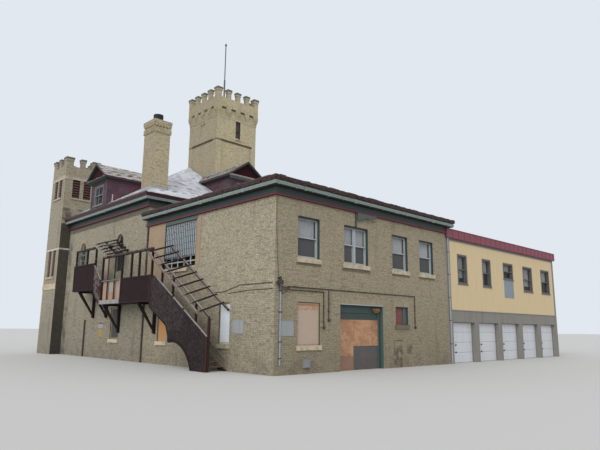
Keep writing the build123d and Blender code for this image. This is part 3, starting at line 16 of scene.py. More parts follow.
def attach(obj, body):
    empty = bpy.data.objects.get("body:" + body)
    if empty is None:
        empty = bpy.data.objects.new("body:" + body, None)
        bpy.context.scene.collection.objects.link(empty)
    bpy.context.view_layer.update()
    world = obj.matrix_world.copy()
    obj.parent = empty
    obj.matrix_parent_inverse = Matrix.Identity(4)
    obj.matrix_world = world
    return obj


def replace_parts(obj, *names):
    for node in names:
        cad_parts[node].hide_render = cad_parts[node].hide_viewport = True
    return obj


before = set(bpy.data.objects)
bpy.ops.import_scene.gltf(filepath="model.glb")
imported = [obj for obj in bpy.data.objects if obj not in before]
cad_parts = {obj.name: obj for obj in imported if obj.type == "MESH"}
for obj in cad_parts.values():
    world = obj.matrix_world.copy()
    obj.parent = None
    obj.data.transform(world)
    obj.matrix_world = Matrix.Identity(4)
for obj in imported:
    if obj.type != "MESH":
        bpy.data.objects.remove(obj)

log = logging.getLogger("fire_station")
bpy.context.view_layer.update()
Linear = tuple[float, float, float]
Colour = Union[str, Linear]
Number = Union[int, float]
Span = tuple[float, float]
Term = Union["Value", int, float]


def linear(colour: Colour) -> Linear:
    """Turns a colour into the linear values that shaders use.

    Args:
        colour: A display colour such as "#8090a0", or values that are linear already.

    Returns:
        Linear red, green and blue.
    """
    if not isinstance(colour, str):
        return colour
    parts = (int(colour[place:place + 2], 16) / 255 for place in (1, 3, 5))
    return tuple(p / 12.92 if p <= 0.04045 else ((p + 0.055) / 1.055) ** 2.4 for p in parts)


@dataclass(frozen=True)
class Mark:
    """A part of a surface, boxed in metres and by its facing, that has its own tone: real stains and paint, and
    painted shade too.
    """

    tone: Colour
    x: Span | None = None
    y: Span | None = None
    z: Span | None = None
    facing: Span | None = None
    side: Span | None = None
    share: float = 1.0
    patchy: float = 0.0
    mode: str = "MIX"


def painted_shade(tone: Linear, **where: Span | float) -> Mark:
    """Makes a mark that multiplies the colour under it, for painted shade."""
    return Mark(tone, mode="MULTIPLY", **where)


class Value:
    """A shader socket that takes part in arithmetic."""

    def __init__(self, graph: "Graph", socket: bpy.types.NodeSocket) -> None:
        """Keeps the socket and the graph it belongs to."""
        self.graph = graph
        self.socket = socket

    def _math(self, operation: str, *terms: Term) -> "Value":
        """Adds one Math node over the given terms."""
        return self.graph.node("ShaderNodeMath", {"operation": operation}, dict(enumerate(terms)))

    def __add__(self, other: Term) -> "Value":
        """Adds."""
        return self._math("ADD", self, other)

    __radd__ = __add__

    def __mul__(self, other: Term) -> "Value":
        """Multiplies."""
        return self._math("MULTIPLY", self, other)

    __rmul__ = __mul__

    def __sub__(self, other: Term) -> "Value":
        """Subtracts."""
        return self._math("SUBTRACT", self, other)

    def __rsub__(self, other: Term) -> "Value":
        """Subtracts from a number."""
        return self._math("SUBTRACT", other, self)

    def __truediv__(self, other: Term) -> "Value":
        """Divides."""
        return self._math("DIVIDE", self, other)

    def __abs__(self) -> "Value":
        """Gives the size without its sign."""
        return self._math("ABSOLUTE", self)

    def over(self, edge: Number) -> "Value":
        """Gives one where the value is over the edge."""
        return self._math("GREATER_THAN", self, edge)

    def least(self, other: Term) -> "Value":
        """Gives the smaller of two values."""
        return self._math("MINIMUM", self, other)

    def cycle(self, period: Number) -> "Value":
        """Gives how far the value is through its period, from 0 to 1."""
        return self._math("FRACT", self / period)

    def floor(self) -> "Value":
        """Rounds down."""
        return self._math("FLOOR", self)

    def within(self, span: Span) -> "Value":
        """Gives one where the value lies in the span."""
        return self.over(span[0]) * (1 - self.over(span[1]))

    def band(self, low: Number, high: Number) -> "Value":
        """Rises smoothly from 0 at low to 1 at high."""
        values = {"Value": self, "From Min": low, "From Max": high}
        return self.graph.node("ShaderNodeMapRange", {"interpolation_type": "SMOOTHSTEP"}, values)

    def seams(self, period: Number, width: Number) -> "Value":
        """Gives one along the seams between pieces of one length, and 0 elsewhere."""
        way = self.cycle(period)
        return 1 - way.band(0.0, width) * (1 - way.band(1 - width, 1.0))


Input = Union[Value, Number, Colour]


class Graph:
    """The node tree of one material."""

    def __init__(self, name: str) -> None:
        """Starts an empty material.

        Args:
            name: The material's name.
        """
        self.material = bpy.data.materials.new(name)
        self.material.use_nodes = True
        self.tree = self.material.node_tree
        self.tree.nodes.clear()
        coordinates = self.tree.nodes.new("ShaderNodeTexCoord")
        self.place = Value(self, coordinates.outputs["Object"])
        self.x, self.y, self.z = self.split(self.place)
        self.nx, self.ny, self.nz = self.split(Value(self, coordinates.outputs["Normal"]))
        side = abs(self.nx).over(0.6)
        self.along = self.y * side + self.x * (1 - side)

    def node(
        self, kind: str, settings: dict | None = None, values: dict | None = None, output: Union[str, int] = 0
    ) -> Value:
        """Adds one node.

        Args:
            kind: The node's type.
            settings: Its properties, set before its sockets.
            values: Numbers, tuples or Values by socket name or index.
            output: The output socket to return.

        Returns:
            The chosen output.
        """
        made = self.tree.nodes.new(kind)
        for key, setting in (settings or {}).items():
            if key == "stops":
                self._set_stops(made.color_ramp, setting)
            else:
                setattr(made, key, setting)
        for key, value in (values or {}).items():
            if isinstance(value, Value):
                self.tree.links.new(value.socket, made.inputs[key])
            elif isinstance(value, (int, float)):
                made.inputs[key].default_value = value
            else:
                made.inputs[key].default_value = (*linear(value), 1.0)
        return Value(self, made.outputs[output])

    @staticmethod
    def _set_stops(ramp: bpy.types.ColorRamp, stops: Sequence[tuple[float, Colour]]) -> None:
        """Fills a colour ramp."""
        while len(ramp.elements) > 1:
            ramp.elements.remove(ramp.elements[-1])
        for index, (position, colour) in enumerate(stops):
            element = ramp.elements[0] if index == 0 else ramp.elements.new(position)
            element.position = position
            element.color = (*linear(colour), 1.0)

    def split(self, vector: Value) -> list[Value]:
        """Separates a vector into its three parts.

        Args:
            vector: The vector.

        Returns:
            Its x, y and z.
        """
        made = self.tree.nodes.new("ShaderNodeSeparateXYZ")
        self.tree.links.new(vector.socket, made.inputs[0])
        return [Value(self, out) for out in made.outputs]

    def join(self, x: Input, y: Input, z: Input = 0.0) -> Value:
        """Makes a vector of three parts."""
        return self.node("ShaderNodeCombineXYZ", None, {0: x, 1: y, 2: z})

    def noise(self, scale: float, detail: float = 3.0, rough: float = 0.55, place: Value | None = None) -> Value:
        """Samples noise at a place, the object's own by default."""
        values = {"Vector": place or self.place, "Scale": scale, "Detail": detail, "Roughness": rough}
        return self.node("ShaderNodeTexNoise", None, values)

    def chance(self, across: Input, up: Input) -> Value:
        """Gives each cell of a grid its own number from 0 to 1."""
        cell = {"Vector": self.join(across, up)}
        return self.node("ShaderNodeTexWhiteNoise", {"noise_dimensions": "2D"}, cell)

    def region(self, mark: Mark) -> Value:
        """Finds the part of the surface that a mark covers.

        Args:
            mark: The mark, which limits at least one direction.

        Returns:
            One inside the mark's limits and 0 outside them.
        """
        limits = (
            (self.x, mark.x), (self.y, mark.y), (self.z, mark.z), (self.nz, mark.facing), (self.nx, mark.side),
        )
        first, *others = (value.within(span) for value, span in limits if span)
        return math.prod(others, start=first)

    def marked(self, colour: Input, marks: Sequence[Mark]) -> Input:
        """Lays each mark's tone over a colour, inside its own limits.

        Args:
            colour: The colour under the marks.
            marks: The marks, each over the ones before it.

        Returns:
            The colour with its marks.
        """
        for mark in marks:
            share = self.region(mark) * mark.share
            if mark.patchy:
                share = share * self.noise(mark.patchy, 5.0, 0.65).band(0.42, 0.58)
            colour = self.mix(share, colour, mark.tone, mark.mode)
        return colour

    def ramp(self, factor: Value, stops: Sequence[tuple[float, Colour]]) -> Value:
        """Reads a colour from a ramp."""
        return self.node("ShaderNodeValToRGB", {"stops": stops}, {"Fac": factor})

    def mix(self, factor: Input, first: Input, second: Input, mode: str = "MIX") -> Value:
        """Mixes two colours."""
        settings = {"data_type": "RGBA", "blend_type": mode}
        return self.node("ShaderNodeMix", settings, {0: factor, 6: first, 7: second}, 2)

    def finish(
        self,
        colour: Input,
        roughness: Input = 0.8,
        height: Value | None = None,
        relief: float = 0.01,
        **constants: float,
    ) -> bpy.types.Material:
        """Closes the material with its surface shader.

        Args:
            colour: The base colour.
            roughness: The surface's roughness.
            height: The relief, from 0 to 1.
            relief: The relief's depth in metres.
            **constants: Other shader sockets, with underscores for spaces.

        Returns:
            The finished material.
        """
        values = {"Base Color": colour, "Roughness": roughness}
        values.update({key.replace("_", " "): value for key, value in constants.items()})
        if height is not None:
            values["Normal"] = self.node("ShaderNodeBump", None, {"Height": height, "Distance": relief})
        surface = self.node("ShaderNodeBsdfPrincipled", None, values)
        out = self.tree.nodes.new("ShaderNodeOutputMaterial")
        self.tree.links.new(surface.socket, out.inputs["Surface"])
        return self.material


@dataclass(frozen=True)
class Finish:
    """A named material that is made in code."""

    name: str

    def build(self) -> bpy.types.Material:
        """Builds the material.

        Returns:
            The finished material.
        """
        raise NotImplementedError


@dataclass(frozen=True)
class BrickFinish(Finish):
    """Weathered brickwork in stretcher courses."""

    light: Colour = "#b0a58a"
    middle: Colour = "#9c927b"
    dark: Colour = "#807664"
    mortar: Colour = "#766f63"
    soot_and_shade: Colour = "#484239"
    pale: Colour = "#c2b698"
    stain: float = 0.4
    length: float = 0.213
    course: float = 0.0675
    joint: float = 0.01
    marks: tuple = ()

    def build(self) -> bpy.types.Material:
        """Builds the brick material."""
        g = Graph(self.name)
        wobble = g.noise(9.0, 2.0) - 0.5
        along = g.along + wobble * 0.006
        level = g.z + wobble * 0.004
        row = (level / self.course).floor()
        shift = along / self.length + row * 0.5
        tint = g.chance(shift.floor(), row)
        edge_up = level.cycle(self.course)
        edge_along = shift - shift.floor()
        lean = self.joint / self.course
        side = self.joint / self.length
        bed = edge_up.band(0.0, lean) * (1 - edge_up.band(1 - lean * 0.4, 1.0))
        head = edge_along.band(0.0, side) * (1 - edge_along.band(1 - side * 0.4, 1.0))
        brick_face = bed * head
        stops = [(0.0, self.dark), (0.18, self.middle), (0.75, self.light), (1.0, self.middle)]
        brick = g.ramp(tint, stops)
        patches = g.noise(0.5, 5.0, 0.6)
        brick = g.mix(patches.band(0.4, 0.7) * 0.45, brick, self.middle)
        brick = g.mix(g.noise(11.0, 6.0, 0.85).band(0.46, 0.56) * 0.8, brick, self.dark)
        chalk = g.noise(15.0, 5.0, 0.8, g.join(g.x + 3.1, g.y, g.z))
        brick = g.mix(chalk.band(0.5, 0.58) * 0.75, brick, self.pale)
        face = g.mix((1 - brick_face) * 0.8, brick, self.mortar)
        streaks = g.noise(1.0, 4.0, 0.6, g.join(g.along * 1.7, g.z * 0.22, g.nz))
        dirt = streaks.band(0.52, 0.8) * self.stain
        splash = (1 - g.z.band(0.0, 1.1)) * g.noise(1.6, 4.0).band(0.35, 0.7) * 0.3
        # The lowest 4.6 m of wall grow darker towards the ground: painted shade, on top of the splashed dirt.
        foot = splash + (1 - g.z.band(0.0, 4.6)) * 0.22
        dirt = (dirt + foot + patches.band(0.62, 0.8) * 0.15).least(0.85)
        colour = g.marked(g.mix(dirt, face, self.soot_and_shade), self.marks)
        height = brick_face * 0.75 + g.noise(60.0, 3.0) * 0.25
        return g.finish(colour, 0.92, height, 0.009)


@dataclass(frozen=True)
class SoldierFinish(Finish):
    """Bricks laid on end over an opening."""

    light: Colour = "#a0967e"
    dark: Colour = "#8c826e"
    pitch: float = 0.0675

    def build(self) -> bpy.types.Material:
        """Builds the material of the upright bricks."""
        g = Graph(self.name)
        tint = g.chance((g.along / self.pitch).floor(), g.z.floor())
        colour = g.mix(tint, self.dark, self.light)
        colour = g.mix(g.noise(24.0, 4.0, 0.7).band(0.45, 0.8) * 0.5, colour, self.dark)
        return g.finish(colour, 0.92, g.noise(60.0, 3.0), 0.004)


@dataclass(frozen=True)
class ShingleFinish(Finish):
    """Lapped roof shingles that follow the slope."""

    light: Colour = "#d6dae0"
    middle: Colour = "#c0c2c8"
    dark: Colour = "#929096"
    lichen_and_butt_shade: Colour = "#624a40"
    lichen_share: float = 0.12
    patch: float = 2.4
    exposure: float = 0.14
    tab: float = 0.3
    base: float = 8.60
    pitch_sine: float = 0.527
    marks: tuple = ()

    def build(self) -> bpy.types.Material:
        """Builds the shingle material."""
        g = Graph(self.name)
        up = (g.z - self.base) / self.pitch_sine
        side = (abs(g.nx) - abs(g.ny)).over(0.0)
        along = g.y * side + g.x * (1 - side)
        row = (up / self.exposure + 0.02).floor()
        tint = g.chance((along / self.tab + row * 0.5).floor(), row)
        colour = g.ramp(tint, [(0.0, self.dark), (0.2, self.middle), (0.55, self.light), (1.0, self.light)])
        blotch = g.noise(self.patch, 6.0, 0.72)
        streak = g.noise(1.0, 4.0, 0.6, g.join(along * 2.4, up * 0.35))
        colour = g.mix(blotch.band(0.5, 0.66) * self.lichen_share, colour, self.lichen_and_butt_shade)
        colour = g.mix(streak.band(0.55, 0.8) * 0.4, colour, self.dark)
        # A dark band along the butt of each course: painted shade under the lapped edges.
        colour = g.mix((1 - up.cycle(self.exposure).band(0.0, 0.12)) * 0.5, colour, self.lichen_and_butt_shade)
        height = g.noise(90.0, 2.0) * 0.5 + blotch * 0.5
        return g.finish(g.marked(colour, self.marks), 0.9, height, 0.006)


class Grain(Enum):
    """Which way the boards of a timber piece run."""

    UPRIGHT = "upright"
    ALONG = "along"
    FLAT = "flat"


@dataclass(frozen=True)
class TimberFinish(Finish):
    """Painted or bare boards gone grey and split."""

    paint: Colour = "#342a2a"
    bare: Colour = "#5c5451"
    seam: Colour = "#181414"
    worn: float = 0.5
    board: float = 0.19
    grain: Grain = Grain.UPRIGHT
    roughness: float = 0.82
    gloss: float = 0.12
    marks: tuple = ()

    def build(self) -> bpy.types.Material:
        """Builds the timber material."""
        g = Graph(self.name)
        across, length = {
            Grain.UPRIGHT: (g.along, g.z),
            Grain.ALONG: (g.z, g.along),
            Grain.FLAT: (g.y, g.x),
        }[self.grain]
        fibre = g.noise(1.0, 5.0, 0.6, g.join(across * 42.0, length * 2.2, g.x * 3.0))
        board = (across / self.board).floor()
        tone = g.noise(1.0, 1.0, 0.5, g.join(board * 7.3, length * 0.3))
        wear = (g.noise(2.3, 5.0, 0.65) * 0.6 + fibre * 0.4).band(0.62 - 0.25 * self.worn, 0.78)
        colour = g.mix(wear * self.worn, self.paint, self.bare)
        colour = g.mix((tone - 0.5) * 0.9 + 0.2, colour, self.seam)
        colour = g.mix(fibre.band(0.55, 0.75) * 0.3, colour, self.seam)
        line = across.seams(self.board, 0.03)
        colour = g.marked(g.mix(line * 0.8, colour, self.seam), self.marks)
        height = fibre * 0.35 + (1 - line) * 0.65
        return g.finish(colour, self.roughness, height, 0.006, Specular_IOR_Level=self.gloss)


@dataclass(frozen=True)
class PaintFinish(Finish):
    """Weathered paint on sheet, joinery or render."""

    paint: Colour
    under: Colour
    dirt: Colour = "#3c3832"
    peel: float = 0.25
    dirt_share: float = 0.35
    roughness: float = 0.6
    grain: float = 26.0
    relief: float = 0.002
    marks: tuple = ()

    def build(self) -> bpy.types.Material:
        """Builds the paint material."""
        g = Graph(self.name)
        chips = g.noise(self.grain * 0.35, 6.0, 0.7)
        fade = g.noise(1.1, 4.0, 0.6)
        streak = g.noise(1.0, 4.0, 0.62, g.join(g.along * 5.0, g.z * 0.6, g.x * 0.4))
        colour = g.marked(g.mix(fade * 0.35, self.paint, self.under), self.marks)
        flake = chips.band(0.68 - 0.18 * self.peel, 0.72)
        colour = g.mix(flake * min(1.0, self.peel * 2), colour, self.under)
        colour = g.mix(streak.band(0.5, 0.8) * self.dirt_share, colour, self.dirt)
        height = (1 - flake) * 0.6 + g.noise(self.grain * 4, 2.0) * 0.4
        return g.finish(colour, self.roughness, height, self.relief)


@dataclass(frozen=True)
class StoneFinish(Finish):
    """Dressed stone or concrete with pits and runs of dirt."""

    light: Colour = "#c4b69a"
    dark: Colour = "#80725c"
    stain: Colour = "#3e362c"
    marks: tuple = ()

    def build(self) -> bpy.types.Material:
        """Builds the stone material."""
        g = Graph(self.name)
        mottle = g.noise(3.2, 6.0, 0.66)
        pits = g.noise(38.0, 4.0, 0.7)
        colour = g.ramp(mottle, [(0.3, self.dark), (0.52, self.light), (0.7, self.light)])
        colour = g.marked(g.mix(pits.band(0.58, 0.72) * 0.4, colour, self.dark), self.marks)
        streak = g.noise(1.0, 4.0, 0.6, g.join(g.along * 6.0, g.z * 0.9))
        colour = g.mix(streak.band(0.55, 0.8) * 0.45, colour, self.stain)
        height = mottle * 0.6 + pits * 0.4
        return g.finish(colour, 0.9, height, 0.008)


@dataclass(frozen=True)
class PlyFinish(Finish):
    """Sheets of plywood left out in the weather."""

    face: Colour = "#bc8460"
    pale: Colour = "#cea888"
    grey: Colour = "#806c5e"
    sheet: float = 1.22
    marks: tuple = ()

    def build(self) -> bpy.types.Material:
        """Builds the plywood material."""
        g = Graph(self.name)
        rings = g.noise(1.0, 5.0, 0.62, g.join(g.along * 2.2, g.z * 9.0, g.x * 0.5))
        fibre = g.noise(1.0, 3.0, 0.6, g.join(g.along * 3.0, g.z * 90.0))
        colour = g.ramp(rings, [(0.3, self.face), (0.5, self.pale), (0.62, self.face), (0.75, self.grey)])
        colour = g.mix(g.noise(0.8, 4.0).band(0.45, 0.75) * 0.45, colour, self.grey)
        colour = g.marked(colour, self.marks)
        line = g.along.seams(self.sheet, 0.006)
        colour = g.mix(line * 0.6, colour, self.grey)
        return g.finish(colour, 0.8, rings * 0.3 + fibre * 0.7, 0.002)


@dataclass(frozen=True)
class DoorFinish(Finish):
    """White sectional doors with their joints and ribs pressed in."""

    paint: Colour = "#ced1d4"
    joint: Colour = "#606264"
    section: float = 0.533

    def build(self) -> bpy.types.Material:
        """Builds the door material."""
        g = Graph(self.name)
        groove = g.z.seams(self.section, 0.02)
        ridge = g.z.seams(self.section / 4, 0.08)
        grime = (1 - g.z.band(0.0, 0.7)) * g.noise(3.0, 4.0).band(0.35, 0.7)
        colour = g.mix(groove * 0.75, self.paint, self.joint)
        # Faint dark lines along the pressed ribs: painted shade in the creases.
        colour = g.mix(ridge * 0.16, colour, self.joint)
        colour = g.mix(grime * 0.45 + (g.noise(1.4, 4.0) - 0.5) * 0.2, colour, self.joint)
        height = 1 - (groove * 0.8 + ridge * 0.2)
        return g.finish(colour, 0.5, height, 0.008)


@dataclass(frozen=True)
class GlassFinish(Finish):
    """Dark window glass that mirrors a pale sky."""

    tone: Colour = "#34383a"
    dusty: Colour = "#565858"

    def build(self) -> bpy.types.Material:
        """Builds the glass material."""
        g = Graph(self.name)
        dust = g.noise(3.0, 4.0)
        colour = g.mix(dust * 0.3, self.tone, self.dusty)
        return g.finish(colour, dust * 0.15 + 0.08, Alpha=0.24, IOR=1.45)


@dataclass(frozen=True)
class MetalFinish(Finish):
    """Rusting or galvanised pipe and sheet."""

    metal: Colour
    rust: Colour = "#583a2a"
    rust_share: float = 0.3
    roughness: float = 0.55
    metallic: float = 0.2
    marks: tuple = ()

    def build(self) -> bpy.types.Material:
        """Builds the metal material."""
        g = Graph(self.name)
        rust = g.noise(7.0, 6.0, 0.7).band(0.5, 0.68) * self.rust_share
        colour = g.mix(rust, g.marked(self.metal, self.marks), self.rust)
        return g.finish(colour, rust * 0.3 + self.roughness, g.noise(50.0), 0.001, Metallic=self.metallic)


@dataclass(frozen=True)
class Wall:
    """One face of the building: it runs along x or y, and out is away from it."""

    axis: str
    place: float
    outward: int

    def point(self, along: float, level: float, out: float = 0.0) -> tuple[float, float, float]:
        """Finds the point at a distance along, a height and a distance out."""
        face = self.place + self.outward * out
        return (along, face, level) if self.axis == "x" else (face, along, level)


Strip = tuple[Wall, Span, Span, Span]
REAR = Wall("x", 0.0, -1)
SIDE = Wall("y", 0.0, -1)
MAIN_REAR = Wall("x", 10.1, -1)
MAIN_FRONT = Wall("x", 22.0, 1)
MAIN_FAR = Wall("y", 15.5, 1)
GARAGE_BACK = Wall("x", 10.1, 1)
GARAGE_END = Wall("y", 26.2, 1)
PANEL = Wall("y", -1.05, -1)
WING_TOP = 7.13
MAIN_TOP = 8.24
ARCHED = (13.18, 18.18)
ARCH_SPRING = 6.42
HIP_X = (-0.42, 15.92)
HIP_Y = (9.68, 22.42)
HIP_BASE = 8.6
HIP_PITCH = 0.62


def paces(start: float, end: float, pitch: float) -> Iterator[float]:
    """Steps from a start towards an end.

    Args:
        start: The first place.
        end: Where it stops, at the latest.
        pitch: How long each step is.

    Yields:
        Each place before the end.
    """
    while start < end:
        yield start
        start += pitch


def shaft_faces(x: Span, y: Span) -> list[tuple[Wall, Span]]:
    """Lists the four outer faces of an upright shaft, each with where it starts and ends."""
    pairs = (("y", x, y), ("x", y, x))
    return [(Wall(axis, places[end], (-1, 1)[end]), span) for axis, places, span in pairs for end in (0, 1)]


class Form:
    """A mesh under way, measured in metres in the building's own frame."""

    def __init__(self, strips: Iterable[Strip] = ()) -> None:
        """Starts with nothing, or with squared strips that lie on walls.

        Args:
            strips: Each strip's wall, and its spans along, up and out.
        """
        self.mesh = bmesh.new()
        for strip in strips:
            self.slab(*strip)

    def block(self, low: Sequence[Sequence[float]], high: Sequence[Sequence[float]]) -> None:
        """Adds a closed piece between two outlines with as many corners.

        Args:
            low: The corners of one end.
            high: The corners of the other end, in the same order.
        """
        first, last = ([self.mesh.verts.new(corner) for corner in end] for end in (low, high))
        self.mesh.faces.new(first[::-1])
        self.mesh.faces.new(last)
        for here, after in zip(range(len(first)), [*range(1, len(first)), 0]):
            self.mesh.faces.new((first[here], first[after], last[after], last[here]))

    def box(self, x: Span, y: Span, z: Span) -> None:
        """Adds an upright box between two corners."""
        self.block(*[[(x[0], y[0], h), (x[0], y[1], h), (x[1], y[1], h), (x[1], y[0], h)] for h in z])

    def slab(self, wall: Wall, along: Span, level: Span, out: Span) -> None:
        """Adds a squared piece lying on a wall."""
        outline = [(along[0], level[0]), (along[1], level[0]), (along[1], level[1]), (along[0], level[1])]
        self.plate(wall, outline, out)

    def plate(self, wall: Wall, outline: Sequence[Span], out: Span) -> None:
        """Adds a flat piece with an outline of points along and up a wall."""
        self.block(*[[wall.point(a, level, depth) for a, level in outline] for depth in out])

    def mould(self, wall: Wall, profile: Sequence[Span], along: Span, mitre: Span = (0.0, 0.0)) -> None:
        """Runs a moulding along a wall.

        Args:
            wall: The wall it lies on.
            profile: Its section as points out and up.
            along: Where it starts and ends.
            mitre: How far each end runs on for each metre out.
        """
        ends = zip(along, mitre)
        self.block(*[[wall.point(end + lean * out, level, out) for out, level in profile] for end, lean in ends])

    def rod(self, start: Sequence[float], end: Sequence[float], radius: float, sides: int = 8) -> None:
        """Adds a straight round bar between two points.

        Args:
            start: The first point.
            end: The second point.
            radius: The bar's radius.
            sides: How many flats stand for the round.
        """
        way = (Vector(end) - Vector(start)).normalized()
        across = way.orthogonal().normalized()
        other = way.cross(across)
        turns = [math.tau * step / sides for step in range(sides)]
        self._sweep(start, end, [(math.cos(turn) * across + math.sin(turn) * other) * radius for turn in turns])

    def pin(self, wall: Wall, spot: tuple[float, float], out: Span, radius: float, sides: int) -> None:
        """Adds a round pin that stands square to a wall at a spot along and up it."""
        self.rod(wall.point(*spot, out[0]), wall.point(*spot, out[1]), radius, sides)

    def wire(self, points: Sequence[Sequence[float]], radius: float, sides: int = 8) -> None:
        """Adds a round wire that runs through the points."""
        for start, end in zip(points, points[1:]):
            self.rod(start, end, radius, sides)

    def bar(self, start: Sequence[float], end: Sequence[float], wide: float, deep: float) -> None:
        """Adds a squared bar between two points, upright in its section.

        Args:
            start: The first point.
            end: The second point.
            wide: The bar's width.
            deep: Its depth.
        """
        way = (Vector(end) - Vector(start)).normalized()
        across = Vector((1.0, 0.0, 0.0)) if abs(way.x) < 0.9 else Vector((0.0, 1.0, 0.0))
        other = way.cross(across).normalized()
        across = other.cross(way).normalized()
        corners = ((-1, -1), (1, -1), (1, 1), (-1, 1))
        self._sweep(start, end, [across * wide * a / 2 + other * deep * b / 2 for a, b in corners])

    def _sweep(self, start: Sequence[float], end: Sequence[float], ring: list[Vector]) -> None:
        """Adds a closed piece with the same ring of corners round both ends."""
        self.block(*[[Vector(point) + spoke for spoke in ring] for point in (start, end)])

    def rough(self, low: Vector, high: Vector, cell: float, depth: float) -> None:
        """Adds a rock-faced block that stays inside its box.

        Args:
            low: The box's lowest corner.
            high: Its highest corner.
            cell: About how long each facet is.
            depth: How far the stone may be worn back.
        """
        spans = list(zip(low, high))
        steps = [max(1, round((b - a) / cell)) for a, b in spans]
        centre = Vector([(a + b) / 2 for a, b in spans])
        corners = {}

        def corner(index: tuple[int, ...]) -> bmesh.types.BMVert:
            """Finds or makes the point at a place of the grid."""
            if index not in corners:
                spot = Vector([a + (b - a) * i / n for (a, b), i, n in zip(spans, index, steps)])
                worn = depth * (noise.noise(spot * 14.0) + 1.0) / 2
                corners[index] = self.mesh.verts.new(spot + (centre - spot).normalized() * worn)
            return corners[index]

        for axis in range(3):
            first, second = (other for other in range(3) if other != axis)
            for side in (0, steps[axis]):
                for i in range(steps[first]):
                    for j in range(steps[second]):
                        loop = []
                        for di, dj in ((0, 0), (1, 0), (1, 1), (0, 1)):
                            index = [0, 0, 0]
                            index[axis], index[first], index[second] = side, i + di, j + dj
                            loop.append(corner(tuple(index)))
                        self.mesh.faces.new(loop)


def islands(node: str) -> list[tuple[Vector, Vector]]:
    """Finds the separate solids of a node.

    Args:
        node: The node's name.

    Returns:
        The lowest and highest corners of each solid.
    """
    mesh = bmesh.new()
    mesh.from_mesh(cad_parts[node].data)
    bmesh.ops.remove_doubles(mesh, verts=mesh.verts[:], dist=1e-5)
    left = set(mesh.verts)
    found = []
    while left:
        queue, seen = [left.pop()], []
        while queue:
            point = queue.pop()
            seen.append(point.co.copy())
            joined = {edge.other_vert(point) for edge in point.link_edges} & left
            left -= joined
            queue += joined
        found.append(tuple(Vector(map(pick, zip(*seen))) for pick in (min, max)))
    mesh.free()
    return sorted(found, key=lambda pair: tuple(pair[0]))


@dataclass
class Workshop:
    """Turns meshes into named pieces that ride on the building."""

    finishes: dict[str, bpy.types.Material] = field(default_factory=dict)

    def piece(self, name: str, form: Form, finish: str, slot: str, bevel: float = 0.0) -> bpy.types.Object:
        """Names a mesh, gives it its finish and fixes it to the building.

        Args:
            name: The piece's name.
            form: Its mesh.
            finish: The key of its material.
            slot: The name of a material slot; not used.
            bevel: The width of its softened edges.

        Returns:
            The new object.
        """
        bmesh.ops.recalc_face_normals(form.mesh, faces=form.mesh.faces[:])
        data = bpy.data.meshes.new(name)
        form.mesh.to_mesh(data)
        form.mesh.free()
        obj = bpy.data.objects.new(name, data)
        bpy.context.scene.collection.objects.link(obj)
        data.materials.append(self.finishes[finish])
        if bevel:
            edge = obj.modifiers.new("softened edges", "BEVEL")
            edge.width = bevel
            edge.segments = 2
            edge.limit_method = "ANGLE"
        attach(obj, "root")
        log.info("made %s with %d faces", name, len(data.polygons))
        return obj


@dataclass
class Assembly:
    """A group of pieces that one workshop makes."""

    shop: Workshop

    def build(self) -> None:
        """Makes the pieces."""
        raise NotImplementedError


@dataclass(frozen=True)
class Slope:
    """One plane of a roof, with its outward, level and rising directions."""

    base: Vector
    normal: Vector
    along: Vector
    rise: Vector

    def point(self, along: float, up: float, out: float) -> Vector:
        """Finds the point at a distance along, up the slope and out from it."""
        return self.base + self.along * along + self.rise * up + self.normal * out


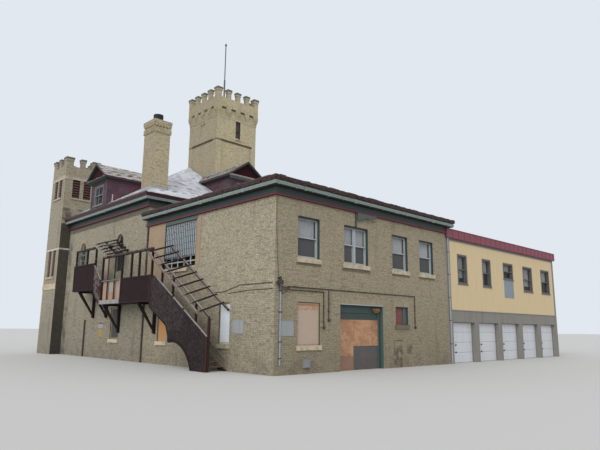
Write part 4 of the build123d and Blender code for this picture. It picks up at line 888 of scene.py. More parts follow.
@dataclass
class RoofCovering(Assembly):
    """Courses of shingles on the sloping solids, the caps on the hips and the lead round the shafts."""

    exposure: float = 0.14
    tab: float = 0.3
    gap: float = 0.008
    butt: float = 0.012
    sunk: float = 0.01
    lift: float = 0.002
    sloped: Span = (0.5, 0.97)
    cap_half: float = 0.13
    cap_drop: float = 0.44
    cap_thick: Span = (0.030, 0.014)
    cap_pitch: float = 0.22
    peaks: tuple = ((5.95, 16.05, 12.549), (9.55, 16.05, 12.549))
    shafts: tuple = (((6.0, 9.5), (13.0, 16.5)), ((0.05, 1.3), (10.2, 11.6)), ((-1.0, 1.7), (20.4, 23.0)))

    def build(self) -> None:
        """Lays the roofs."""
        for name, form, finish, slot in (
            ("hip_roof_shingles", self._covering("main_hip_roof"), "pale shingles", "roof_shingle"),
            ("dormer_roof_shingles", self._covering("dormer_roofs"), "dormer shingles", "dormer_shingle"),
            ("hip_and_ridge_caps", self._caps(), "pale shingles", "roof_shingle"),
            ("lead_flashings", self._flashings(), "lead sheet", "roof_shingle"),
        ):
            self.shop.piece(name, form, finish, slot)

    def _covering(self, node: str) -> Form:
        """Lays courses over every slope of a node."""
        form = Form()
        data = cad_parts[node].data
        data.calc_loop_triangles()
        slopes: dict[tuple, list] = {}
        for triangle in data.loop_triangles:
            normal = triangle.normal
            if self.sloped[0] < normal.z < self.sloped[1]:
                corners = [data.vertices[i].co for i in triangle.vertices]
                key = (*(round(part, 2) for part in normal), round(normal.dot(corners[0]), 2))
                slopes.setdefault(key, []).append((normal.copy(), corners))
        for pieces in slopes.values():
            self._lay(form, pieces[0][0], [corners for _, corners in pieces])
        return form

    def _lay(self, form: Form, normal: Vector, triangles: list) -> None:
        """Lays the courses of one slope."""
        along = normal.cross(Vector((0.0, 0.0, 1.0))).normalized()
        if along.x + along.y < 0:
            along = -along
        rise = normal.cross(along)
        if rise.z < 0:
            rise = -rise
        slope = Slope(normal * normal.dot(triangles[0][0]), normal, along, rise)
        flat = [[(c.dot(along), c.dot(rise)) for c in corners] for corners in triangles]
        low = min(v for corners in flat for _, v in corners)
        high = max(v for corners in flat for _, v in corners)
        for row in range(int((high - low) / self.exposure) + 1):
            foot = low + row * self.exposure
            top = min(foot + self.exposure * 1.12, high)
            for start, end in self._spans(flat, foot + self.exposure * 0.5):
                shift = (row % 2) * 0.5 * self.tab
                first = math.floor((start + shift) / self.tab)
                for index in range(first, math.ceil((end + shift) / self.tab) + 1):
                    left = max(start, index * self.tab - shift) + self.gap / 2
                    right = min(end, (index + 1) * self.tab - shift) - self.gap / 2
                    if right - left > 0.02:
                        self._tab(form, slope, (left, right), (foot, top))

    def _tab(self, form: Form, slope: Slope, width: Span, fall: Span) -> None:
        """Lays one shingle as a wedge that is thick at its lower edge.

        Args:
            form: The mesh that takes it.
            slope: The roof plane it lies on.
            width: Where it starts and ends along the slope.
            fall: Where it starts and ends up the slope.
        """
        slip = random.uniform(-0.012, 0.006)
        thick = self.butt * random.uniform(0.7, 1.5)
        corners = (
            (width[0], fall[0] + slip, thick), (width[1], fall[0] + slip, thick),
            (width[1], fall[1], self.lift), (width[0], fall[1], self.lift),
        )
        under = [slope.point(u, v, -self.sunk) for u, v, _ in corners]
        form.block(under, [slope.point(*corner) for corner in corners])

    @staticmethod
    def _spans(triangles: list, level: float) -> list[Span]:
        """Finds where a level line runs inside a set of triangles."""
        cuts = []
        for corners in triangles:
            hits = []
            for (u0, v0), (u1, v1) in zip(corners, corners[1:] + corners[:1]):
                if (v0 - level) * (v1 - level) < 0:
                    hits.append(u0 + (u1 - u0) * (level - v0) / (v1 - v0))
            if len(hits) == 2:
                cuts.append((min(hits), max(hits)))
        joined: list[list[float]] = []
        for start, end in sorted(cuts):
            if joined and start <= joined[-1][1] + 1e-3:
                joined[-1][1] = max(joined[-1][1], end)
            else:
                joined.append([start, end])
        return [(start, end) for start, end in joined]

    def _caps(self) -> Form:
        """Lays folded caps up the hips, but not where a shaft stands."""
        form = Form()
        for y in HIP_Y:
            for x, peak in zip(HIP_X, self.peaks):
                foot = Vector((x, y, HIP_BASE))
                way = Vector(peak) - foot
                count = int(way.length / self.cap_pitch)
                for step in range(count):
                    spot = foot + way * step / count
                    if not any(a < spot.x < b and c < spot.y < d for (a, b), (c, d) in self.shafts):
                        self._fold(form, spot, foot + way * (step + 1.08) / count)
        return form

    def _fold(self, form: Form, a: Vector, b: Vector) -> None:
        """Lays one cap, folded over the hip."""
        side = (b - a).normalized().cross(Vector((0, 0, 1))).normalized()
        lift_a, lift_b = (Vector((0, 0, thick)) for thick in self.cap_thick)
        for hand in (-1, 1):
            edge = side * hand * self.cap_half - Vector((0, 0, self.cap_half * self.cap_drop))
            under = [a, a + edge, b + edge, b]
            form.block(under, [spot + lift for spot, lift in zip(under, (lift_a, lift_a, lift_b, lift_b))])

    @staticmethod
    def _flashings() -> Form:
        """Dresses lead round the chimney and stands a vent pipe by the dormer."""
        form = Form()
        form.box((0.185, 1.185), (10.375, 10.39), (8.98, 9.17))
        form.box((0.185, 0.2), (10.39, 11.525), (8.95, 9.15))
        form.plate(Wall("x", 11.51, 1), [(0.2, 8.95), (1.17, 9.55), (1.17, 9.74), (0.2, 9.15)], (0.0, 0.015))
        stepped = [(10.375, 9.0), (11.3, 9.55), (11.525, 9.55), (11.525, 9.74), (11.3, 9.74), (10.375, 9.17)]
        form.plate(Wall("y", 1.17, 1), stepped, (0.0, 0.015))
        form.rod((0.28, 15.2, 8.9), (0.28, 15.2, 9.5), 0.034, 12)
        form.rod((0.28, 15.2, 9.02), (0.28, 15.2, 9.06), 0.09, 12)
        return form


@dataclass
class Cornices(Assembly):
    """Crown mouldings, gutters and the broken tiles along the roof edges."""

    gutter: tuple = (
        (0.298, 0.0), (0.325, 0.004), (0.348, 0.03), (0.352, 0.075), (0.366, 0.1), (0.37, 0.16), (0.298, 0.168),
    )
    crown: tuple = (
        (0.3, 0.01), (0.385, 0.012), (0.392, 0.05), (0.408, 0.085), (0.442, 0.12), (0.452, 0.15),
        (0.452, 0.185), (0.44, 0.2), (0.3, 0.2),
    )
    bead: tuple = ((0.05, 0.0), (0.1, 0.0), (0.106, 0.012), (0.1, 0.026), (0.05, 0.026))
    cove: tuple = ((0.05, 0.09), (0.1, 0.09), (0.104, 0.1), (0.08, 0.118), (0.05, 0.125))
    wing_runs: tuple = ((REAR, (0.0, 12.05), (-1.0, 1.0)), (SIDE, (0.0, 10.1), (-1.0, 0.0)))
    main_runs: tuple = (
        (SIDE, (10.1, 20.5), (-1.0, 0.0)), (MAIN_REAR, (0.0, 15.5), (-1.0, 1.0)),
        (MAIN_FAR, (10.1, 22.0), (-1.0, 1.0)), (MAIN_FRONT, (1.64, 15.5), (0.0, 1.0)),
    )
    wing_frieze_runs: tuple = ((REAR, (0.0, 12.05), (-1.0, 0.0)), (SIDE, (0.0, 10.1), (-1.0, 0.0)))
    main_frieze_runs: tuple = (
        (SIDE, (10.1, 20.5), (0.0, 0.0)), (MAIN_REAR, (12.3, 15.5), (0.0, 0.0)),
        (MAIN_FAR, (10.1, 22.0), (-1.0, 1.0)), (MAIN_FRONT, (1.64, 15.5), (0.0, 1.0)),
    )
    frieze_drop: float = 0.33
    gutter_height: float = 0.17
    strap_pitch: float = 0.92
    joint_pitch: float = 3.05

    def build(self) -> None:
        """Runs the mouldings and hangs the tiles."""
        gutters = Form()
        self._mouldings(gutters, self.wing_runs, WING_TOP, self.gutter)
        self._mouldings(gutters, self.main_runs, MAIN_TOP, self.gutter)
        self.shop.piece("gutters", gutters, "gutter green", "gutter_green")
        crowns = Form()
        self._mouldings(crowns, self.main_runs, MAIN_TOP + self.gutter_height, self.crown)
        self.shop.piece("crown_mouldings", crowns, "crown paint", "red_crown")
        self.shop.piece("edge_tiles", self._tiles(), "broken tiles", "red_crown")
        self.shop.piece("gutter_brackets", self._brackets(), "gutter green", "gutter_green")
        friezes = Form()
        for profile in (self.bead, self.cove):
            self._mouldings(friezes, self.wing_frieze_runs, WING_TOP - self.frieze_drop, profile)
            self._mouldings(friezes, self.main_frieze_runs, MAIN_TOP - self.frieze_drop, profile)
        self.shop.piece("frieze_mouldings", friezes, "red moulding", "teal_paint")

    @staticmethod
    def _mouldings(form: Form, runs: tuple, base: float, profile: tuple) -> None:
        """Runs one section along several walls.

        Args:
            form: The mesh that takes the mouldings.
            runs: Each run's wall, start and end, and mitres.
            base: The height that the section stands on.
            profile: The section, as points out and up.
        """
        for wall, along, mitre in runs:
            form.mould(wall, [(out, base + level) for out, level in profile], along, mitre)

    @staticmethod
    def _tiles() -> Form:
        """Hangs two rows of broken tiles along the wing's roof edge, and lays loose ones on it."""
        form = Form()
        for wall, start, end in ((REAR, -0.4, 12.45), (SIDE, -0.4, 10.1)):
            for row, (top, reach) in enumerate(((7.488, 0.418), (7.432, 0.408))):
                along = start + row * 0.07
                while along < end:
                    width = random.uniform(0.09, 0.2)
                    drop = random.uniform(0.085, 0.135) if random.random() > 0.14 else 0.04
                    lean = random.uniform(-0.012, 0.012)
                    right = min(end, along + width)
                    out = reach - random.uniform(0.0, 0.014)
                    outline = [(along, top - drop), (right, top - drop + lean), (right, top), (along, top)]
                    form.plate(wall, outline, (out - 0.05, out))
                    along = right + random.uniform(0.003, 0.016)
            along = start
            while along < end:
                width = random.uniform(0.12, 0.34)
                high = random.uniform(0.0, 0.035)
                form.slab(wall, (along, min(end, along + width)), (7.48, 7.492 + high), (0.29, 0.40))
                along += width + 0.006
        return form

    def _brackets(self) -> Form:
        """Straps the gutters at even distances and covers their joints."""
        form = Form()
        for wall, start, end, base in (
            (REAR, -0.2, 12.3, WING_TOP), (SIDE, 0.2, 10.0, WING_TOP),
            (SIDE, 10.2, 20.4, MAIN_TOP), (MAIN_REAR, 0.2, 15.6, MAIN_TOP),
        ):
            for along in paces(start, end, self.strap_pitch):
                form.slab(wall, (along, along + 0.025), (base - 0.004, base + 0.165), (0.30, 0.377))
            for joint in range(int((end - start) / self.joint_pitch)):
                place = start + 1.4 + joint * self.joint_pitch
                form.slab(wall, (place, place + 0.09), (base - 0.006, base + 0.166), (0.30, 0.376))
        return form


@dataclass
class SashWindow:
    """What hangs in one window: a pleated blind, an insect screen, its reveals, frame and lintel."""

    wall: Wall
    centre: float
    width: float = 1.24
    sill: float = 4.48
    height: float = 1.69
    lights: int = 1
    blind_drop: float = 0.5
    pleat: float = 0.062
    brick: float = 0.0675

    @property
    def sides(self) -> Span:
        """Where the opening starts and ends along the wall."""
        return (self.centre - self.width / 2, self.centre + self.width / 2)

    @property
    def head(self) -> float:
        """How high the opening's head is."""
        return self.sill + self.height

    def blinds(self, form: Form) -> None:
        """Hangs the pleated blinds behind the glass.

        Args:
            form: The mesh that takes them.
        """
        foot = self.sill + self.height * (1 - self.blind_drop)
        for left, right in self._lights(0.07):
            pleats = max(4, round((right - left) / self.pleat))
            step = (right - left) / pleats
            for index in range(pleats):
                a, b = left + step * index, left + step * (index + 1)
                near, far = (-0.252, -0.276) if index % 2 else (-0.276, -0.252)
                section = ((a, near), (b, far), (b, far - 0.004), (a, near - 0.004))
                levels = (foot + random.uniform(-0.012, 0.012), self.head - 0.06)
                form.block(*[[self.wall.point(along, level, out) for along, out in section] for level in levels])

    def screens(self) -> Iterator[Strip]:
        """Gives the insect screens in the lower sashes."""
        levels = (self.sill + 0.105, self.sill + self.height / 2 - 0.03)
        for span in self._lights(0.105):
            yield self.wall, span, levels, (-0.193, -0.189)

    def reveals(self) -> Iterator[Strip]:
        """Gives the painted boards of the jambs and the head."""
        left, right = self.sides
        for span in ((left, left + 0.014), (right - 0.014, right)):
            yield self.wall, span, (self.sill, self.head), (-0.128, -0.012)
        yield self.wall, self.sides, (self.head - 0.02, self.head), (-0.128, -0.012)

    def storm(self) -> Iterator[Strip]:
        """Gives each light a slim moulding and a stouter meeting rail."""
        foot, middle = self.sill + 0.03, self.sill + self.height / 2
        for left, right in self._lights(0.035):
            for span in ((left, left + 0.03), (right - 0.03, right)):
                yield self.wall, span, (foot, self.head - 0.03), (-0.135, -0.118)
            for level in (foot, middle - 0.022, self.head - 0.075):
                yield self.wall, (left + 0.03, right - 0.03), (level, level + 0.044), (-0.138, -0.12)

    def head_board(self) -> Iterator[Strip]:
        """Gives the near-black strip at the head of the opening: painted shadow under the lintel."""
        yield self.wall, self.sides, (self.head - 0.06, self.head), (-0.12, -0.02)

    def lintel(self) -> Iterator[Strip]:
        """Gives the soldier course over the opening."""
        count = math.ceil((self.width + 0.12) / self.brick)
        start = self.centre - count * self.brick / 2
        for index in range(count):
            left = start + index * self.brick + 0.005
            proud = random.uniform(0.002, 0.006)
            yield self.wall, (left, left + 0.0575), (self.head + 0.004, self.head + 0.215), (-0.05, proud)

    def _lights(self, inset: float) -> list[Span]:
        """Splits the opening into its lights."""
        left, right = self.sides
        part = (right - left) / self.lights
        return [(left + part * i + inset, left + part * (i + 1) - inset) for i in range(self.lights)]


@dataclass
class Windows(Assembly):
    """The windows of the brick walls, their lintels and the rock-faced sills under them."""

    rear: tuple = ((1.80, 1.24, 1), (4.74, 1.62, 2), (7.97, 1.24, 1), (10.21, 1.24, 1))
    front: tuple = (3.52, 6.82, 10.12, 13.42)
    far: tuple = (12.083, 16.05, 20.017)
    boarded_sill: float = 1.07
    boarded_height: float = 1.67
    arch_bricks: int = 21
    arch_radii: Span = (0.403, 0.615)

    def build(self) -> None:
        """Makes the windows' fittings."""
        sashes = [SashWindow(REAR, centre, width, lights=lights) for centre, width, lights in self.rear]
        sashes += [SashWindow(MAIN_FRONT, centre) for centre in self.front]
        sashes += [SashWindow(MAIN_FAR, centre) for centre in self.far]
        blinds = Form()
        for window in sashes:
            window.blinds(blinds)
        self.shop.piece("pleated_blinds", blinds, "pleated blind", "window_paint")
        for name, part, finish, slot in (
            ("insect_screens", SashWindow.screens, "insect mesh", "screen_metal"),
            ("window_reveals", SashWindow.reveals, "teal paint", "teal_paint"),
            ("storm_frames", SashWindow.storm, "window paint", "window_paint"),
            ("head_shadow_strips", SashWindow.head_board, "painted shadow black", "teal_paint"),
        ):
            self.shop.piece(name, self._fitted(sashes, part), finish, slot)
        boarded = [
            SashWindow(wall, centre, width, self.boarded_sill, self.boarded_height)
            for wall, centre, width in (
                (REAR, 1.82, 1.24), (SIDE, 3.13, 0.75), (SIDE, 8.10, 0.88), (SIDE, 13.15, 1.0),
                (MAIN_FRONT, self.front[0], 1.24), (MAIN_FRONT, self.front[-1], 1.24),
                *((MAIN_FAR, centre, 1.24) for centre in self.far),
            )
        ]
        small = SashWindow(REAR, 8.0, 0.99, 1.93, 0.83)
        barred = SashWindow(SIDE, 6.87, 2.75, 4.46, 2.16)
        doorways = [SashWindow(REAR, 5.105, 2.89, 0.0, 2.76), small]
        doorways += [SashWindow(MAIN_FRONT, 8.47, 2.89, 0.0, 2.76), SashWindow(SIDE, 14.7, 0.85, 3.8, 2.05)]
        lintels = self._fitted(sashes + boarded + doorways, SashWindow.lintel)
        self._arches(lintels)
        self.shop.piece("soldier_lintels", lintels, "soldier bricks", "buff_brick")
        reveals = self._fitted([*boarded, small, barred], SashWindow.reveals)
        self.shop.piece("boarded_reveals", reveals, "teal paint", "teal_paint")
        self.shop.piece("board_battens", self._battens(boarded), "weathered board", "plywood")
        sills = Form()
        for low, high in islands("stone_sills"):
            sills.rough(low, high, 0.055, 0.014)
        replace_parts(self.shop.piece("rock_faced_sills", sills, "dressed stone", "dressed_stone"), "stone_sills")

    @staticmethod
    def _fitted(windows: list[SashWindow], part: Callable[[SashWindow], Iterator[Strip]]) -> Form:
        """Makes the same part for many windows."""
        return Form(strip for window in windows for strip in part(window))

    def _arches(self, form: Form) -> None:
        """Turns rowlock arches over the two round-headed windows."""
        near, far = self.arch_radii
        for centre in ARCHED:
            for index in range(self.arch_bricks):
                turns = [math.pi * (index + part) / self.arch_bricks for part in (0.06, 0.94)]
                outline = [
                    (centre + math.cos(turns[a]) * radius, ARCH_SPRING + math.sin(turns[a]) * radius)
                    for radius, a in ((near, 0), (near, 1), (far, 1), (far, 0))
                ]
                form.plate(SIDE, outline, (-0.05, 0.006))

    @staticmethod
    def _battens(boarded: list[SashWindow]) -> Form:
        """Fixes the sheets in the openings with narrow battens and screws."""
        form = Form()
        for window in boarded:
            left, right = window.sides[0] + 0.02, window.sides[1] - 0.02
            for span in ((left, left + 0.035), (right - 0.035, right)):
                form.slab(window.wall, span, (1.09, 2.72), (-0.062, -0.048))
            for level in (1.10, 2.67):
                form.slab(window.wall, (left + 0.035, right - 0.035), (level, level + 0.035), (-0.062, -0.05))
            for level in (1.4, 1.9, 2.4):
                for place in (left + 0.09, right - 0.09):
                    form.pin(window.wall, (place, level), (-0.061, -0.054), 0.01, 6)
        return form


@dataclass
class SideOpenings(Assembly):
    """The barred window, the painted strips beside it and the arched windows."""

    span: Span = (5.495, 8.245)
    bar_pitch: float = 0.158
    bar_levels: Span = (5.0, 6.6)
    straps: tuple = (5.30, 5.62, 5.94, 6.26, 6.58)
    arch_half: float = 0.34
    arch_steps: int = 12

    def build(self) -> None:
        """Makes the bars, straps and strips."""
        piece, span = self.shop.piece, self.span
        piece("window_bars", self._bars(), "pale bars", "screen_metal", 0.003)
        piece("bar_straps", Form([
            *((SIDE, span, (mid - 0.014, mid + 0.014), (-0.03, -0.022)) for mid in self.straps),
            (SIDE, span, (6.56, 6.62), (-0.03, -0.001)),
        ]), "dark pipe", "screen_metal")
        places = [span[0] + index * (span[1] - span[0]) / 5 for index in range(6)]
        posts = [(max(span[0], place - 0.03), min(span[1], place + 0.03)) for place in places]
        piece("lower_light_frames", Form([
            *((SIDE, post, (4.46, 5.02), (-0.13, -0.1)) for post in posts),
            *((SIDE, span, (level, level + 0.05), (-0.13, -0.104)) for level in (4.46, 4.72, 4.96)),
        ]), "window paint", "window_paint")
        piece("wall_boards", Form([
            (SIDE, (8.26, 9.84), (3.72, 6.795), (0.0, 0.012)), (SIDE, (5.14, 5.48), (4.44, 6.795), (0.0, 0.012)),
        ]), "pink board", "plywood")
        boards = Form()
        for index, board in enumerate(((10.69, 11.38), (11.45, 12.16), (12.235, 12.85))):
            boards.box((-0.92, -0.904), board, (3.01 + 0.02 * index, 4.05))
        piece("landing_boards", boards, "landing board", "plywood")
        patches = Form()
        for left, right, low, high in (
            (7.55, 8.1, 4.02, 4.34), (6.86, 7.2, 4.0, 4.16), (6.2, 6.5, 3.86, 4.1), (7.1, 7.25, 4.3, 4.4),
        ):
            outline = [(left, low), (right - 0.07, low - 0.03), (right, high), (left + 0.1, high + 0.04)]
            patches.plate(SIDE, outline, (0.0, 0.003))
        piece("paint_patches", patches, "pink paint", "plywood")
        piece("screen_head_board", Form([
            (SIDE, (5.40, 8.25), (6.62, 6.797), (0.0, 0.03)), (SIDE, (8.2, 8.262), (4.46, 6.62), (0.0, 0.02)),
        ]), "pale teal", "teal_paint", 0.004)
        piece("arch_side_boards", Form([
            (SIDE, (17.50, 17.76), (4.95, 6.30), (0.0, 0.03)), (SIDE, (18.6, 18.84), (4.95, 6.30), (0.0, 0.03)),
            (SIDE, (17.76, 18.6), (6.0, 6.1), (0.0, 0.03)),
        ]), "grey green paint", "window_paint", 0.004)
        piece("arched_backing", self._backing(), "painted shadow black", "plywood")
        piece("arched_sashes", Form(
            (SIDE, (centre + start, centre + end), levels, depth)
            for centre in ARCHED
            for start, end, levels, depth in (
                (-0.36, -0.315, (4.72, ARCH_SPRING), (-0.135, -0.11)),
                (0.315, 0.36, (4.72, ARCH_SPRING), (-0.135, -0.11)),
                (-0.36, 0.36, (5.68, 5.75), (-0.137, -0.11)), (-0.02, 0.02, (4.72, 5.7), (-0.13, -0.114)),
            )
        ), "grey green paint", "window_paint")

    def _bars(self) -> Form:
        """Bolts short flat bars over the window, end to end in upright rows."""
        form = Form()
        low, high = self.bar_levels
        for index in range(int((self.span[1] - self.span[0]) / self.bar_pitch)):
            left = self.span[0] + 0.05 + index * self.bar_pitch
            level = low
            while level < high - 0.02:
                top = min(high, level + random.uniform(0.27, 0.33))
                proud = -0.006 - random.uniform(0, 0.004)
                form.slab(SIDE, (left, left + 0.085), (level, top - 0.02), (-0.024, proud))
                level = top
        return form

    def _backing(self) -> Form:
        """Closes the arched windows from behind with near-black boards: painted shade for the unlit room."""
        form = Form()
        half, steps = self.arch_half, self.arch_steps
        for centre in ARCHED:
            arc = [math.pi * step / steps for step in range(steps + 1)]
            outline = [(centre - half, 4.76), (centre + half, 4.76)]
            outline += [(centre + half * math.cos(a), ARCH_SPRING + half * math.sin(a)) for a in arc]
            form.plate(SIDE, outline, (-0.262, -0.25))
        return form


@dataclass
class Doorway(Assembly):
    """The boarded doorway in the rear wall and its plain twin in the street front."""

    starts: tuple = ((REAR, 3.66), (MAIN_FRONT, 7.025))
    width: float = 2.89
    sheet: tuple[Span, float] = ((1.049, 2.725), -0.2)
    rib_pitch: float = 0.076

    def build(self) -> None:
        """Makes the corrugated sheet, the trims and the old fitting over the door."""
        piece = self.shop.piece
        piece("corrugated_panels", self._corrugated(), "dark sheet", "plywood", 0.004)
        trims = Form()
        for wall, left in self.starts:
            right = left + self.width
            for span in ((left + 0.02, left + 0.09), (right - 0.15, right - 0.08)):
                trims.slab(wall, span, (0.0, 2.72), (-0.16, -0.146))
            trims.slab(wall, (left, right), (2.7, 2.757), (-0.16, -0.02))
            for level in (2.12, 2.42):
                trims.slab(wall, (left + 0.17, right - 0.17), (level, level + 0.05), (-0.2, -0.165))
        piece("doorway_trims", trims, "teal paint", "teal_paint", 0.004)
        drip = Form([(REAR, (3.67, 6.54), (2.728, 2.762), (-0.018, 0.012))])
        piece("doorway_drip", drip, "window paint", "window_paint", 0.004)
        piece("door_track_box", Form([
            (REAR, (5.92, 6.4), (2.5, 2.63), (-0.16, -0.05)), (REAR, (6.02, 6.32), (2.44, 2.5), (-0.15, -0.07)),
        ]), "rusty sheet", "box_grey", 0.008)
        piece("doorway_reveal", Form([
            (REAR, (6.53, 6.552), (0.0, 2.74), (-0.16, 0.0)), (REAR, (6.36, 6.42), (0.0, 2.4), (-0.18, -0.15)),
            (REAR, (8.2, 8.495), (1.94, 2.75), (-0.128, -0.09)),
        ]), "pale teal", "teal_paint", 0.003)
        screws = Form()
        for wall, left in self.starts:
            for level in (0.37, 1.22, 2.02):
                for place in (0.23, 0.95, 1.15, 1.9, 2.6):
                    out = -0.187 if place < 1.1 else -0.177
                    screws.pin(wall, (left + place, level), (out, out + 0.012), 0.014, 6)
        piece("board_screws", screws, "dark pipe", "pipe_metal")

    def _corrugated(self) -> Form:
        """Ribs the sheets and gives each its head strip."""
        form = Form()
        (near, far), out = self.sheet
        for wall, left in self.starts:
            start, end = left + near, left + far
            for place in paces(start + 0.02, end - 0.04, self.rib_pitch):
                form.slab(wall, (place, place + 0.038), (0.02, 0.985), (out, out + 0.012))
            form.slab(wall, (start, end), (0.965, 1.0), (out, out + 0.018))
        return form


@dataclass
class GarageFront(Assembly):
    """Doors, windows and fascia of the garage wing."""

    bays: tuple = tuple(13.67 + 2.74 * bay for bay in range(5))
    windows: tuple = (
        (13.67, 0.94, 4.215), (16.41, 0.94, 4.215), (19.15, 1.24, 4.82),
        (21.89, 1.3, 4.215), (24.63, 1.3, 4.215),
    )
    end_windows: tuple = (3.03, 7.07)
    window_head: float = 5.775
    section: float = 0.5325
    seam_pitch: float = 0.61

    def build(self) -> None:
        """Makes the garage wing's fittings."""
        piece = self.shop.piece
        doors, handles = Form(), Form()
        for bay in self.bays:
            for base in (0.03 + index * self.section for index in range(4)):
                doors.slab(REAR, (bay - 1.12, bay + 1.12), (base, base + 0.5), (-0.236, -0.224))
                for rib in (0.12, 0.24, 0.36):
                    levels = (base + rib, base + rib + 0.035)
                    doors.slab(REAR, (bay - 1.1, bay + 1.1), levels, (-0.225, -0.217))
            for level in (0.55, 0.93):
                handles.pin(REAR, (bay - 0.62, level), (-0.225, -0.19), 0.045, 12)
                handles.slab(REAR, (bay - 0.68, bay - 0.56), (level - 0.016, level + 0.016), (-0.2, -0.185))
        piece("door_sections", doors, "door paint", "garage_door_white", 0.003)
        piece("door_handles", handles, "dark pipe", "pipe_metal")
        piece("door_jambs", Form(
            (REAR, (bay + start, bay + end), (low, 2.13), (-0.28, face))
            for bay in self.bays
            for start, end, low, face in (
                (-1.14, -1.125, 0.0, -0.21), (1.125, 1.14, 0.0, -0.21), (-1.14, 1.14, 2.1, -0.2),
            )
        ), "dark frame", "grey_render")
        self._windows()
        piece("fascia_seams", Form([
            *((REAR, (a, a + 0.018), (6.62, 7.112), (0.12, 0.136)) for a in paces(12.06, 26.3, self.seam_pitch)),
            (REAR, (12.06, 26.2), (7.085, 7.115), (0.12, 0.142)),
            (REAR, (12.06, 26.2), (6.615, 6.64), (0.12, 0.14)),
        ]), "fascia red", "fascia_red")
        piece("facing_trims", Form([
            (REAR, (12.42, 25.83), (2.755, 2.79), (0.0, 0.036)),
            (REAR, (12.42, 25.83), (6.45, 6.49), (0.0, 0.04)),
            *((REAR, (a, a + 0.025), (2.79, 6.45), (0.0, 0.036)) for a in (12.395, 25.83)),
        ]), "pale trim", "cream_panel")

    def _windows(self) -> None:
        """Frames the windows in dark metal with pale meeting rails, and hangs their blinds."""
        dark, pale, cloth = Form(), Form(), Form()
        sets = [(REAR, *window) for window in self.windows]
        sets += [(GARAGE_BACK, *window) for window in self.windows[2:]]
        sets += [(GARAGE_END, centre, 0.94, 4.215) for centre in self.end_windows]
        head = self.window_head
        for index, (wall, centre, width, sill) in enumerate(sets):
            left, right = centre - width / 2, centre + width / 2
            inner, middle = (left + 0.05, right - 0.05), (sill + head) / 2
            for side in (left, right):
                dark.slab(wall, (side - 0.05, side + 0.05), (sill - 0.01, head + 0.05), (-0.04, 0.036))
            dark.slab(wall, inner, (head - 0.05, head + 0.05), (-0.04, 0.036))
            dark.slab(wall, inner, (sill, sill + 0.05), (-0.04, 0.034))
            pale.slab(wall, inner, (middle - 0.025, middle + 0.025), (-0.062, -0.03))
            foot = middle + 0.03 if index % 3 else sill + 0.35
            cloth.slab(wall, (left + 0.08, right - 0.08), (foot, head - 0.08), (-0.2, -0.194))
        self.shop.piece("garage_window_frames", dark, "dark frame", "window_paint", 0.004)
        self.shop.piece("garage_meeting_rails", pale, "window paint", "window_paint")
        self.shop.piece("garage_blinds", cloth, "grey blind", "window_paint")


